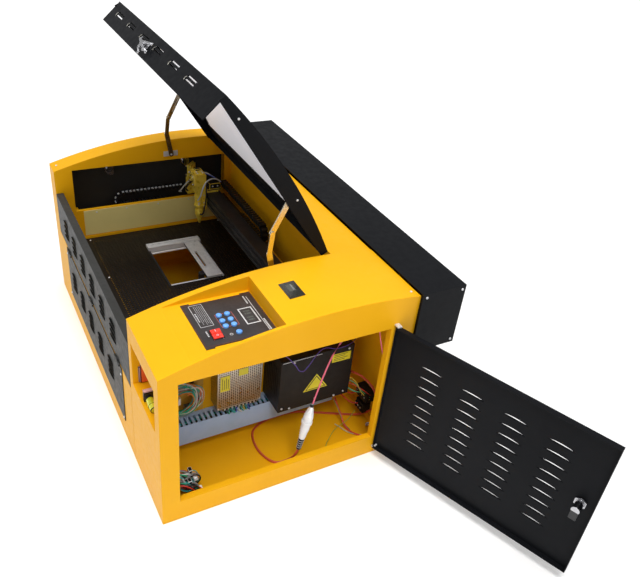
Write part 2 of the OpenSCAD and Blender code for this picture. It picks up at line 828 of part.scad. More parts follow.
module button(i) color([0.35, 0.62, 0.95]) {
  p = button_places[i];
  rod_z(p[0], p[1], [pocket_z - 6, pocket_z + 5], button_r);
  rod_z(p[0], p[1], [pocket_z - 14, pocket_z - 5], 3);
}

// ---------- lid and stays ----------

module lid_flange_2d()
  intersection() {
    arch_disc(1);
    polygon([[6, 404], [475, 464], [475, 500], [6, 500]]);
  }

module lid_closed() {
  lip_fold = [4, 420.6];
  lip_lean = 17;
  difference() {
    side_profile(lid_x) arch_strip([4, 475], 0, sheet);
    span([128, 741], [90, 402], [400, 500]);
  }
  for (x = [[lid_x[0], lid_x[0] + sheet], [lid_x[1] - sheet, lid_x[1]]]) side_profile(x) lid_flange_2d();
  side_profile(lid_x) under_arch([473, 475], 466, 1);
  difference() {
    side_profile(lid_x) intersection() {
      arch_disc(0.5);
      translate(lip_fold) rotate(lip_lean) translate([0, -lip_h]) square([sheet, lip_h + 1]);
    }
    for (x = [141, 245, 349, 452, 560, 662])
      for (depth = [22, 31])
        side_profile([x - 23, x + 23]) translate(lip_fold) rotate(lip_lean)
          translate([-1, -depth]) square([sheet + 2, 3.2]);
  }
  for (k = lid_knuckles) {
    x = [k[0] + 24.5, k[1] - 24.5];
    difference() {
      union() {
        rod_x(x, lid_hinge_y, lid_hinge_z, knuckle_r);
        span(x, [474, lid_hinge_y], [lid_hinge_z + pin_r + 0.3, lid_hinge_z + 3.5]);
      }
      rod_x([x[0] - 1, x[1] + 1], lid_hinge_y, lid_hinge_z, pin_r + fit);
    }
  }
}

module lid_pose() swing_x(lid_hinge_y, lid_hinge_z, -lid_open) children();

module lid_shell() color(black) {
  lid_pose() lid_closed();
  // Bosses that the upper stay arms reach
  for (side = ["left", "right"]) mirror_stay(side) rod_x([67, 73.6], stay_head[0], stay_head[1], 5);
}

module lid_window() color([0.8, 0.8, 0.86, 0.6])
  lid_pose() side_profile([112, 757]) arch_strip([74, 418], sheet, sheet + 3);

module lid_latch() color(steel)
  lid_pose() side_profile_place() {
    cylinder(r = 13, h = 5, $fn = round_fn);
    translate([0, 0, 5]) cylinder(r = 8, h = 9, $fn = round_fn);
    translate([-34, -5, 13]) cube([68, 10, 4]);
    for (x = [-34, 34]) translate([x, 0, 13]) cylinder(r = 6, h = 4, $fn = round_fn);
  }

// Puts a piece on the outer face of the lid's lip, with its own Z pointing outwards
latch_x = 390;
module side_profile_place()
  translate([latch_x - body_w / 2, 4 - body_d / 2, 420.6]) rotate([17, 0, 0])
    translate([0, -0.3, -38]) rotate([90, 0, 0]) children();

module stay_lower(side) color(steel)
  mirror_stay(side) {
    difference() {
      union() {
        side_profile([70.4, 73.4]) bar_2d(stay_foot, stay_bend, 14);
        side_profile([70.4, 73.4]) bar_2d(stay_bend, stay_elbow, 12);
      }
      rod_x([69, 75], stay_foot[0], stay_foot[1], 3 + fit);
    }
    rod_x([73, 79.5], stay_elbow[0], stay_elbow[1], 3);
    rod_x([77.6, 79.6], stay_elbow[0], stay_elbow[1], 5);
  }

module stay_upper(side) color(steel)
  mirror_stay(side)
    difference() {
      side_profile([74, 77]) bar_2d(stay_elbow, stay_head, 13);
      rod_x([73, 78], stay_elbow[0], stay_elbow[1], 3 + fit);
      side_profile([76, 78]) bar_2d([345, 576], [366, 618], 4);
    }

// ---------- doors and locks ----------

// A slot pointed at both ends, between two arcs
module lens_slot(x, y, z, length, width) {
  r = (length * length + width * width) / (4 * width);
  side_profile(x) intersection() {
    translate([y, z - r + width / 2]) circle(r = r, $fn = 120);
    translate([y, z + r - width / 2]) circle(r = r, $fn = 120);
  }
}

module door_louvres(x, y_from, z_from)
  for (column = [0 : 3])
    for (row = [0 : 8]) lens_slot(x, y_from - 30 - 102.3 * column, z_from + 2 + 28.7 * row, 62, 7);

module side_door_closed() {
  x = [body_w + 0.4, body_w + pan + 0.5];
  y = [door_edge_y - door_w, door_edge_y];
  z = [door_z0, door_z0 + door_h];
  skin = x[1] - sheet;
  difference() {
    span(x, y, z);
    span([x[0] - 1, skin], [y[0] + sheet, y[1] - sheet], [z[0] + sheet, z[1] - sheet]);
    // The hinge edge is cut back so that it swings clear of the cabinet
    span([x[0] - 1, x[0] + 6], [y[1] - 3, y[1] + 1], [z[0] - 1, z[1] + 1]);
    door_louvres([skin - 1, x[1] + 1], door_edge_y - 76, 102);
    rod_x([x[0] - 1, x[1] + 1], door_edge_y - 488, 227, 8.95 + fit);
    rod_z(door_pivot[0], door_pivot[1], [z[0] - 1, z[0] + sheet + 1], 2.5 + fit);
    rod_z(door_pivot[0], door_pivot[1], [z[1] - sheet - 1, z[1] + 1], 2.5 + fit);
  }
}

module side_door() color(black) swing_z(door_pivot, door_open) side_door_closed();

// Cam lock along X: barrel, hexagon nut, cam plate and the head outside
module cam_lock(head, tip, y, z, cam_len) {
  step = head < tip ? 1 : -1;
  low = min(head, tip);
  high = max(head, tip);
  rod_x([low, high], y, z, 8.95);
  rod_x([min(head - 4 * step, head), max(head - 4 * step, head)], y, z, 13);
  nut = head + step * 2.6;
  rod_x([min(nut, nut + 6 * step), max(nut, nut + 6 * step)], y, z, 14, 6);
  cam = [min(tip, tip - 3 * step), max(tip, tip - 3 * step)];
  span(cam, [y - 8, y + 8], cam_len > 0 ? [z, z + cam_len] : [z + cam_len, z]);
}

module door_lock() color(steel)
  swing_z(door_pivot, door_open) cam_lock(body_w + pan + 0.8, 1000, door_edge_y - 488, 227, -26);

module left_lock_front() color(steel) cam_lock(-pan - 0.3, 19, 170, 378, 30);
module left_lock_rear() color(steel) cam_lock(-pan - 0.3, 19, 410, 378, 30);

module hinge_pins() color(steel) {
  for (k = lid_knuckles) rod_x([k[0] + 1, k[1] - 1], lid_hinge_y, lid_hinge_z, pin_r);
  for (k = flap_knuckles) rod_x([k[0] + 1, k[1] - 1], flap_pivot[0], flap_pivot[1], pin_r);
  // Side door pivots on two ears
  z_top = door_z0 + door_h;
  for (z = [[door_z0 - 6, door_z0 + 4], [z_top - 4, z_top + 6]])
    rod_z(door_pivot[0], door_pivot[1], z, 2.5);
  for (z = [[door_z0 - 4.5, door_z0 - 1], [z_top + 1, z_top + 4.5]])
    span([body_w, door_pivot[0] + 5], [door_pivot[1] - 5, door_pivot[1] + 6], z);
  // Feet of the lid stays, on the left section and on the bay divider
  wall = [left_w, lid_x[0] + lid_x[1] - right_x];
  for (i = [0, 1])
    mirror_stay(i == 0 ? "left" : "right") {
      span([wall[i], 64.5], [322, 366], [431, 447]);
      rod_x([64, 74], stay_foot[0], stay_foot[1], 3);
      rod_x([64, 70], stay_foot[0], stay_foot[1], 5.5);
      for (y = [328, 360]) rod_x([64, 65.4], y, 439, 4);
    }
}

base_pan();
rear_panel();
left_section();
right_section();
bay_divider();
front_frame();
rear_deck();
lower_vent_panel();
front_flap();
table_frame();
bed_plate();
side_skirt();
clamp_frame();
clamp_jaw();
y_rails();
y_belts();
drive_shaft();
y_motor();
y_chain();
x_beam();
x_belt();
x_chain();
mirror_2_mount();
laser_head();
lens_nozzle();
tube_housing();
laser_tube();
tube_mounts();
mirror_1_mount();
hv_supply();
dc_supply();
control_board();
wire_duct();
hv_connector();
bay_wiring();
rear_fittings();
control_panel();
displays();
recess_socket();
rocker_switch();
button(0);  // button_1
button(1);  // button_2
button(2);  // button_3
button(3);  // button_4
button(4);  // button_5
button(5);  // button_6
button(6);  // button_7
lid_shell();
lid_window();
lid_latch();
stay_lower("left");  // stay_lower_left
stay_lower("right");  // stay_lower_right
stay_upper("left");  // stay_upper_left
stay_upper("right");  // stay_upper_right
side_door();
door_lock();
left_door();
left_lock_front();
left_lock_rear();
hinge_pins();
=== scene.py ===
"""Looks of the desktop laser cutter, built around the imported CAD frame."""
import json
import math
import random

import bmesh
import bpy
from mathutils import Matrix, Vector


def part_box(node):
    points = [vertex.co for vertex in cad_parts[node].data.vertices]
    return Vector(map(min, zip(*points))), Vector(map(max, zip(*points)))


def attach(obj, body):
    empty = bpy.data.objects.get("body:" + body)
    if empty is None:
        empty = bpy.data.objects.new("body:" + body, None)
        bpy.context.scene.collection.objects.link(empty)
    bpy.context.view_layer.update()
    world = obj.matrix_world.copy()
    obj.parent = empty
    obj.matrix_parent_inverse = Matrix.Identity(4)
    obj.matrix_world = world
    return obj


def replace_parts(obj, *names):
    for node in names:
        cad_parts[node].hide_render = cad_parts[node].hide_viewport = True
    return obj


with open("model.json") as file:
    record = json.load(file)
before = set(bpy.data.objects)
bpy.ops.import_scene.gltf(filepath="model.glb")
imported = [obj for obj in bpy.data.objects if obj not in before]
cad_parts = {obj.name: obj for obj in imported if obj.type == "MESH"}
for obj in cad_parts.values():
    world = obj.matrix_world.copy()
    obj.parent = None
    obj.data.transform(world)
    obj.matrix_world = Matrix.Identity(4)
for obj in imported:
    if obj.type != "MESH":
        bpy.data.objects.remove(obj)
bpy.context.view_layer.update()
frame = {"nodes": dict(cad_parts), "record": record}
nodes = frame["nodes"]
joints = {j["name"]: j for j in frame["record"]["behaviour"]["joints"]}
rng = random.Random(4)

# The cabinet's left front corner on the ground; stations in millimetres count from it.
base_low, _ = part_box("base_pan")
CORNER = Vector((base_low.x, base_low.y, 0))


def st(x, y, z):
    """A place given by its stations from the left, the front and the ground."""
    return CORNER + Vector((x, y, z)) / 1000


# ---- materials

# Every material made below, by name; most names are material slots of the record
MATERIAL = {}


class Nodes:
    """A material's node tree, with short helpers."""

    def __init__(self, name, color, rough, metal=0.0, **sockets):
        self.mat = MATERIAL[name] = bpy.data.materials.new(name)
        self.mat.use_nodes = True
        self.tree = self.mat.node_tree
        self.shader = self.tree.nodes["Principled BSDF"]
        self.set("Base Color", (*color, 1))
        self.set("Roughness", rough)
        self.set("Metallic", metal)
        for key, value in sockets.items():
            self.set(key.replace("_", " "), value)
        self.coord = self.add("ShaderNodeTexCoord").outputs["Object"]
        self.normal = None

    def set(self, socket, value):
        self.shader.inputs[socket].default_value = value

    def add(self, kind, **inputs):
        """A new node; its inputs are given by name, with an underscore for each space."""
        node = self.tree.nodes.new(kind)
        for key, value in inputs.items():
            node.inputs[key.replace("_", " ")].default_value = value
        return node

    def link(self, a, b):
        self.tree.links.new(a, b)

    def noise(self, scale, detail=4, rough=0.55, stretch=None):
        node = self.add("ShaderNodeTexNoise", Scale=scale, Detail=detail, Roughness=rough)
        source = self.coord
        if stretch:
            mapping = self.add("ShaderNodeMapping", Scale=stretch)
            self.link(source, mapping.inputs["Vector"])
            source = mapping.outputs["Vector"]
        self.link(source, node.inputs["Vector"])
        return node.outputs["Fac"]

    def ramp(self, fac, stops):
        node = self.add("ShaderNodeValToRGB")
        ramp = node.color_ramp
        while len(ramp.elements) < len(stops):
            ramp.elements.new(0.5)
        for element, (pos, color) in zip(ramp.elements, stops):
            element.position = pos
            element.color = (*color, 1) if len(color) == 3 else color
        self.link(fac, node.inputs["Fac"])
        return node.outputs["Color"]

    def tint(self, fac, low, high, a=0.35, b=0.65):
        self.link(self.ramp(fac, [(a, low), (b, high)]), self.shader.inputs["Base Color"])

    def roughen(self, fac, low, high, a=0.3, b=0.7):
        node = self.add("ShaderNodeMapRange", From_Min=a, From_Max=b, To_Min=low, To_Max=high)
        self.link(fac, node.inputs["Value"])
        self.link(node.outputs["Result"], self.shader.inputs["Roughness"])

    def rounded(self, radius):
        node = self.add("ShaderNodeBevel", Radius=radius)
        node.samples = 4
        self.normal = node.outputs["Normal"]
        self.link(self.normal, self.shader.inputs["Normal"])

    def bump(self, height, strength, distance):
        node = self.add("ShaderNodeBump", Strength=strength, Distance=distance)
        self.link(height, node.inputs["Height"])
        if self.normal:
            self.link(self.normal, node.inputs["Normal"])
        self.normal = node.outputs["Normal"]
        self.link(self.normal, self.shader.inputs["Normal"])


def painted(name, low, high, rough, grain=900, relief=0.00008, dull=0.5):
    m = Nodes(name, high, rough, Specular_IOR_Level=dull)
    m.tint(m.noise(5, 5), low, high)
    m.roughen(m.noise(60, 4), rough * 0.85, rough * 1.2)
    m.rounded(0.0012)
    m.bump(m.noise(grain, 2), 0.25, relief)
    return m.mat


def metal(name, low, high, rough, stretch=(1, 1, 30), scale=60, amount=1.0):
    m = Nodes(name, high, rough, amount)
    streaks = m.noise(scale, 5, 0.7, stretch)
    m.tint(streaks, low, high, 0.3, 0.7)
    m.roughen(streaks, rough * 0.75, rough * 1.35)
    m.rounded(0.0006)
    m.bump(streaks, 0.1, 0.00005)
    return m.mat


def plastic(name, low, high, rough, edge=0.0005, **sockets):
    m = Nodes(name, high, rough, **sockets)
    m.tint(m.noise(25, 5), low, high)
    m.roughen(m.noise(120, 3), rough * 0.85, rough * 1.2)
    if edge:
        m.rounded(edge)
    m.bump(m.noise(500, 2), 0.3, 0.00006)
    return m.mat


painted("cabinet_paint", (0.79, 0.388, 0.004), (0.83, 0.412, 0.006), 0.42, 500, 0.00002, 0.14)
BLACK = painted("black_paint", (0.0055, 0.006, 0.0075), (0.0072, 0.0078, 0.0095), 0.42, 1800, 0.00003, 0.08)
FRONT_BLACK = painted("front_paint", (0.03, 0.03, 0.028), (0.036, 0.036, 0.034), 0.5, 1800, 0.00003, 0.25)
painted("olive_paint", (0.76, 0.65, 0.24), (0.84, 0.72, 0.28), 0.38, 900, 0.00004)
BED = painted("bed_steel", (0.008, 0.006, 0.0045), (0.013, 0.0095, 0.007), 0.36, 700, 0.00004, dull=0.18)
SATIN_BLACK = painted("motor_black", (0.012, 0.012, 0.013), (0.02, 0.02, 0.022), 0.38, 900)
painted("supply_paint", (0.014, 0.012, 0.0105), (0.019, 0.0165, 0.0145), 0.5, 1600, 0.00003, 0.2)
STEEL = metal("plain_steel", (0.62, 0.62, 0.63), (0.8, 0.8, 0.81), 0.34, amount=0.4)
metal("rail_steel", (0.6, 0.6, 0.61), (0.75, 0.75, 0.76), 0.16)
CHROME = metal("chrome", (0.36, 0.36, 0.38), (0.66, 0.66, 0.68), 0.14)
metal("stay_steel", (0.62, 0.55, 0.42), (0.82, 0.76, 0.62), 0.2)
BRASS = metal("brass_anodised", (0.88, 0.62, 0.04), (1.0, 0.80, 0.11), 0.3, (1, 1, 1), 90, amount=0.2)
ZINC = metal("zinc_sheet", (0.42, 0.40, 0.35), (0.62, 0.6, 0.54), 0.34)
CHAIN_BAR = plastic("chain_bar", (0.02, 0.02, 0.022), (0.03, 0.03, 0.032), 0.25)
# Painted highlight: white marks on the drag chain's link rims stand in for light glancing off their edges
CHAIN_GLINT = plastic("chain_glint", (0.86, 0.92, 0.96), (0.92, 0.96, 1.0), 0.3)
plastic("belt", (0.012, 0.012, 0.012), (0.02, 0.02, 0.02), 0.7)
CHAIN = plastic("chain_plastic", (0.006, 0.006, 0.007), (0.011, 0.011, 0.012), 0.36, Specular_IOR_Level=0.2)
plastic("duct_plastic", (0.36, 0.53, 0.78), (0.42, 0.58, 0.85), 0.5)
WHITE = plastic("white_plastic", (0.78, 0.78, 0.78), (0.86, 0.86, 0.86), 0.3, Coat_Weight=0.2)
plastic("lead_rubber", (0.5, 0.06, 0.025), (0.62, 0.09, 0.035), 0.38)
PINK_LEAD = plastic("pink_lead", (0.75, 0.12, 0.2), (0.85, 0.17, 0.25), 0.35)
OVERLAY = plastic("overlay", (0.022, 0.018, 0.018), (0.034, 0.028, 0.028), 0.45)
SCREEN = plastic("display", (0.02, 0.021, 0.018), (0.035, 0.036, 0.03), 0.18, Coat_Weight=0.6)
plastic("red_plastic", (0.72, 0.02, 0.008), (0.85, 0.035, 0.015), 0.22, Coat_Weight=0.5)
plastic("button_blue", (0.10, 0.32, 0.80), (0.15, 0.40, 0.88), 0.25, Coat_Weight=0.4)
PALE_LINE = plastic("print_line", (0.5, 0.5, 0.5), (0.62, 0.62, 0.62), 0.5, edge=0)
RED_LINE = plastic("print_red", (0.45, 0.1, 0.09), (0.55, 0.13, 0.12), 0.5, edge=0)
LABEL = plastic("label_yellow", (0.75, 0.66, 0.02), (0.85, 0.74, 0.04), 0.4, edge=0)
LABEL_DARK = plastic("label_black", (0.01, 0.01, 0.01), (0.02, 0.02, 0.02), 0.4, edge=0)
plastic("circuit_board", (0.44, 0.24, 0.02), (0.54, 0.31, 0.04), 0.35)
CLEAR_HOSE = plastic("clear_hose", (0.62, 0.66, 0.68), (0.75, 0.78, 0.8), 0.15)
GREEN_BLOCK = plastic("terminal_green", (0.02, 0.25, 0.09), (0.03, 0.33, 0.13), 0.4)
ORANGE_BLOCK = plastic("block_orange", (0.55, 0.16, 0.02), (0.7, 0.22, 0.04), 0.4)
SEGMENT = plastic("screen_segment", (0.06, 0.065, 0.055), (0.09, 0.095, 0.08), 0.3, edge=0)
RED_BROWN = plastic("overlay_border", (0.07, 0.025, 0.018), (0.1, 0.035, 0.025), 0.45, edge=0)
PALE_PINK = plastic("pale_cap", (0.7, 0.45, 0.5), (0.8, 0.52, 0.56), 0.35)
LIME_LENS = plastic("lime_lens", (0.55, 0.6, 0.02), (0.7, 0.74, 0.04), 0.25, Coat_Weight=0.5)
BLOCK_BROWN = plastic("block_brown", (0.05, 0.03, 0.004), (0.07, 0.042, 0.006), 0.4)
RED_ORANGE = plastic("recess_cover", (0.85, 0.12, 0.03), (0.95, 0.16, 0.04), 0.4)
LILAC = plastic("recess_strip", (0.45, 0.30, 0.38), (0.55, 0.38, 0.46), 0.4)
COLORS = {
    "olive": (0.22, 0.22, 0.08), "lime": (0.35, 0.4, 0.05), "cream": (0.6, 0.55, 0.35),
    "red": (0.7, 0.04, 0.02), "green": (0.03, 0.42, 0.2), "blue": (0.05, 0.12, 0.6),
    "violet": (0.12, 0.07, 0.42), "white": (0.72, 0.72, 0.7), "orange": (0.8, 0.25, 0.03),
    "yellow": (0.75, 0.6, 0.05), "black": (0.015, 0.015, 0.015), "grey": (0.28, 0.28, 0.28),
    "teal": (0.05, 0.45, 0.42), "brown": (0.25, 0.09, 0.03),
}
WIRE = {
    name: plastic("wire_" + name, tuple(c * 0.8 for c in color), color, 0.35, edge=0)
    for name, color in COLORS.items()
}


def window_material():
    """Clear sheet under a milky protective film; its faint glow is painted light, standing in for light that
    comes through the film.
    """
    m = Nodes("window", (0.9, 0.9, 0.94), 0.4, Specular_IOR_Level=0.3)
    m.tint(m.noise(3, 3), (0.88, 0.88, 0.93), (0.93, 0.93, 0.96))
    m.set("Transmission Weight", 0.08)
    # Painted light: a faint emission stands in for light coming through the film
    m.set("Emission Color", (0.9, 0.9, 0.95, 1))
    m.set("Emission Strength", 0.16)
    m.bump(m.noise(9, 3), 0.1, 0.001)


def glass_material():
    m = Nodes("tube_glass", (0.85, 0.93, 0.95), 0.03)
    m.set("Transmission Weight", 0.9)
    m.bump(m.noise(12, 2), 0.05, 0.0005)


def perforated_sheet():
    """Zinc sheet with rows of small round holes painted dark, as painted shade of the supply's inside seen
    through them.
    """
    m = Nodes("zinc_perforated", (0.5, 0.48, 0.42), 0.34, 1.0)
    pitch = 0.0052
    mapping = m.add("ShaderNodeMapping", Scale=(1 / pitch,) * 3, Location=-st(853, 190, 125) / pitch)
    m.link(m.coord, mapping.inputs["Vector"])
    cells = m.add("ShaderNodeTexVoronoi", Scale=1.0, Randomness=0.0)
    m.link(mapping.outputs["Vector"], cells.inputs["Vector"])
    # The dark dots are painted shade, where the holes show the unlit inside of the supply
    dots = m.ramp(cells.outputs["Distance"], [(0.30, (0.02, 0.015, 0.01)), (0.36, (0.56, 0.53, 0.46))])
    m.link(dots, m.shader.inputs["Base Color"])
    m.roughen(m.noise(90, 3), 0.25, 0.45)
    m.bump(cells.outputs["Distance"], 0.3, 0.0004)
    return m.mat


window_material()
glass_material()
MATERIAL["zinc_sheet"] = perforated_sheet()
slot_of = {s["node"]: s["material_slot"] for s in frame["record"]["subparts"]}
for node_name, obj in nodes.items():
    obj.data.materials.clear()
    obj.data.materials.append(MATERIAL[slot_of[node_name]])
for node_name in ("front_flap", "lower_vent_panel", "left_door"):
    nodes[node_name].data.materials[0] = FRONT_BLACK

# ---- mesh helpers

IDENTITY = Matrix.Identity(4)
TAU = 2 * math.pi


def show(name, data, slot_name, body):
    """Puts a mesh or a curve in the scene and on its body; slot_name is not used."""
    obj = bpy.data.objects.new(name, data)
    bpy.context.scene.collection.objects.link(obj)
    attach(obj, body)
    return obj


class Piece:
    """Collects solids in one mesh, then rides it on a body."""

    def __init__(self, name, body, slot_name, material=None, place=IDENTITY):
        self.name, self.body, self.slot_name = name, body, slot_name
        self.mats = [material or MATERIAL[slot_name]]
        self.place = place
        self.bm = bmesh.new()

    def material_index(self, material):
        if material is None:
            return 0
        if material not in self.mats:
            self.mats.append(material)
        return self.mats.index(material)

    def paint(self, faces, material):
        index = self.material_index(material)
        for face in faces:
            face.material_index = index

    def block(self, low, high, bevel=0.0, material=None, turn=None):
        """A box between two stations, with rounded edges."""
        a, b = st(*low), st(*high)
        made = bmesh.ops.create_cube(self.bm, size=1)["verts"]
        size = Matrix.Diagonal((*(b - a), 1))
        middle = Matrix.Translation((a + b) / 2)
        bmesh.ops.transform(self.bm, matrix=middle @ (turn or IDENTITY) @ size, verts=made)
        faces = {f for v in made for f in v.link_faces}
        self.paint(faces, material)
        if bevel:
            self.soften({e for v in made for e in v.link_edges}, bevel)

    def soften(self, edges, bevel):
        bmesh.ops.bevel(self.bm, geom=list(edges), offset=bevel / 1000, segments=2, affect="EDGES",
                        profile=0.5, clamp_overlap=True)

    def rod(self, start, end, r1, r2=None, material=None, sides=24, bevel=0.0):
        """A round or tapered bar between two stations."""
        a, b = st(*start), st(*end)
        run = b - a
        made = bmesh.ops.create_cone(
            self.bm, cap_ends=True, cap_tris=False, segments=sides,
            radius1=r1 / 1000, radius2=(r1 if r2 is None else r2) / 1000, depth=run.length,
        )["verts"]
        turn = run.to_track_quat("Z", "Y").to_matrix().to_4x4()
        bmesh.ops.transform(self.bm, matrix=Matrix.Translation((a + b) / 2) @ turn, verts=made)
        faces = {f for v in made for f in v.link_faces}
        self.paint(faces, material)
        for face in faces:
            face.smooth = len(face.verts) == 4
        if bevel:
            edges = {e for v in made for e in v.link_edges}
            self.soften([e for e in edges if any(len(f.verts) > 4 for f in e.link_faces)], bevel)

    def screw(self, at, out, r=3.0, material=None):
        """A domed screw head with a cross recess, its axis along out."""
        a = Vector(at)
        n = Vector(out).normalized()
        profile = [(r, 0), (r, 0.25 * r), (0.85 * r, 0.55 * r), (0.5 * r, 0.75 * r)]
        turn = n.to_track_quat("Z", "Y").to_matrix()
        rings = []
        for radius, height in profile:
            ring = []
            for k in range(16):
                angle = TAU * k / 16
                p = a + turn @ Vector((radius * math.cos(angle), radius * math.sin(angle), height))
                ring.append(self.bm.verts.new(st(*p)))
            rings.append(ring)
        middle = self.bm.verts.new(st(*(a + n * 0.45 * r)))
        faces = [self.bm.faces.new(list(reversed(rings[0])))]
        for low, high in zip(rings, rings[1:]):
            for k in range(16):
                j = (k + 1) % 16
                faces.append(self.bm.faces.new((low[k], low[j], high[j], high[k])))
        for k in range(16):
            faces.append(self.bm.faces.new((rings[-1][k], rings[-1][(k + 1) % 16], middle)))
        self.paint(faces, material)

    def screws(self, places, out, r, material=None):
        for at in places:
            self.screw(at, out, r, material)

    def prism(self, outline, depth, material=None):
        """A flat shape given by stations, thickened by a vector in millimetres."""
        step = Vector(depth)
        near = [self.bm.verts.new(st(*p)) for p in outline]
        far = [self.bm.verts.new(st(*(Vector(p) + step))) for p in outline]
        count = len(outline)
        faces = [self.bm.faces.new(near), self.bm.faces.new(list(reversed(far)))]
        for k in range(count):
            j = (k + 1) % count
            faces.append(self.bm.faces.new((near[k], far[k], far[j], near[j])))
        self.paint(faces, material)

    def ring(self, x, y, z, inner, outer, high, sides, material=None):
        """A thin flat ring, lying on its back."""
        for k in range(sides):
            a, b = TAU * k / sides, TAU * (k + 1) / sides
            self.prism([(x + r * math.cos(t), y + r * math.sin(t), z)
                        for r, t in ((inner, a), (outer, a), (outer, b), (inner, b))], (0, 0, high), material)

    def done(self):
        mesh = bpy.data.meshes.new(self.name)
        bmesh.ops.transform(self.bm, matrix=self.place, verts=self.bm.verts)
        bmesh.ops.recalc_face_normals(self.bm, faces=self.bm.faces)
        self.bm.to_mesh(mesh)
        self.bm.free()
        for material in self.mats:
            mesh.materials.append(material)
        return show(self.name, mesh, self.slot_name, self.body)


def about(joint, degrees):
    """The turn that carries a part from where it is drawn to where it rests."""
    pos = Vector(joints[joint]["pos_m"])
    axis = Vector(joints[joint]["axis"])
    return (
        Matrix.Translation(pos)
        @ Matrix.Rotation(math.radians(degrees), 4, axis)
        @ Matrix.Translation(-pos)
    )


LID_PLACE = about("lid_hinge", -joints["lid_hinge"]["range_deg"][1])
DOOR_PLACE = about("door_hinge", -joints["door_hinge"]["range_deg"][0])


def wire(name, points, r, color, body="cabinet", slot_name="lead_rubber"):
    """A round wire on a smooth curve through stations."""
    curve = bpy.data.curves.new(name, "CURVE")
    curve.dimensions = "3D"
    curve.bevel_depth = r / 1000
    curve.bevel_resolution = 3
    curve.resolution_u = 6
    curve.use_fill_caps = True
    spline = curve.splines.new("BEZIER")
    spline.bezier_points.add(len(points) - 1)
    for point, at in zip(spline.bezier_points, points):
        point.co = st(*at)
        point.handle_left_type = point.handle_right_type = "AUTO"
    curve.materials.append(WIRE[color] if isinstance(color, str) else color)
    show(name, curve, slot_name, body)


# ---- camera and light


def build_stage():
    mesh = bpy.data.meshes.new("floor")
    half = 45
    corners = [(-half, -half, 0), (half, -half, 0), (half, half, 0), (-half, half, 0)]
    mesh.from_pydata(corners, [], [(0, 1, 2, 3)])
    floor = bpy.data.objects.new("floor", mesh)
    floor.location.z = base_low.z - 0.0005
    bpy.context.scene.collection.objects.link(floor)
    m = Nodes("floor_paper", (0.9, 0.9, 0.9), 0.85)
    m.tint(m.noise(2, 3), (0.93, 0.93, 0.93), (0.95, 0.95, 0.95))
    mesh.materials.append(m.mat)

    world = bpy.data.worlds.new("studio")
    bpy.context.scene.world = world
    world.use_nodes = True
    background = world.node_tree.nodes["Background"]
    background.inputs["Color"].default_value = (1, 1, 1, 1)
    background.inputs["Strength"].default_value = 0.5

    def aim(lamp, at, target):
        lamp.location = at
        lamp.rotation_euler = (Vector(target) - Vector(at)).to_track_quat("-Z", "Y").to_euler()
        bpy.context.scene.collection.objects.link(lamp)

    overhead = bpy.data.lights.new("overhead", "SUN")
    overhead.energy = 2.6
    overhead.angle = math.radians(40)
    aim(bpy.data.objects.new("overhead", overhead), (0.35, -0.35, 2.9), (0, 0, 0))
    softbox = bpy.data.lights.new("softbox", "AREA")
    softbox.energy = 0.8
    softbox.size = 0.6
    softbox.spread = math.radians(40)
    aim(bpy.data.objects.new("softbox", softbox), (1.55, -0.25, 1.9), (0.42, 0.0, 0.1))

    camera = bpy.data.cameras.new("camera")
    camera.sensor_width = 36
    camera.lens = 39.0
    camera.clip_start, camera.clip_end = 0.05, 60
    rig = bpy.data.objects.new("camera", camera)
    right, up, back = (0.4735, 0.8753, 0.0986), (-0.5285, 0.1927, 0.8268), (0.7047, -0.4436, 0.5538)
    rig.matrix_world = Matrix.Translation((1.4783, -0.5753, 1.3147)) @ Matrix(
        (right, up, back)
    ).transposed().to_4x4()
    bpy.context.scene.collection.objects.link(rig)
    bpy.context.scene.camera = rig
    bpy.context.scene.view_settings.view_transform = "Standard"


build_stage()

# ---- bed


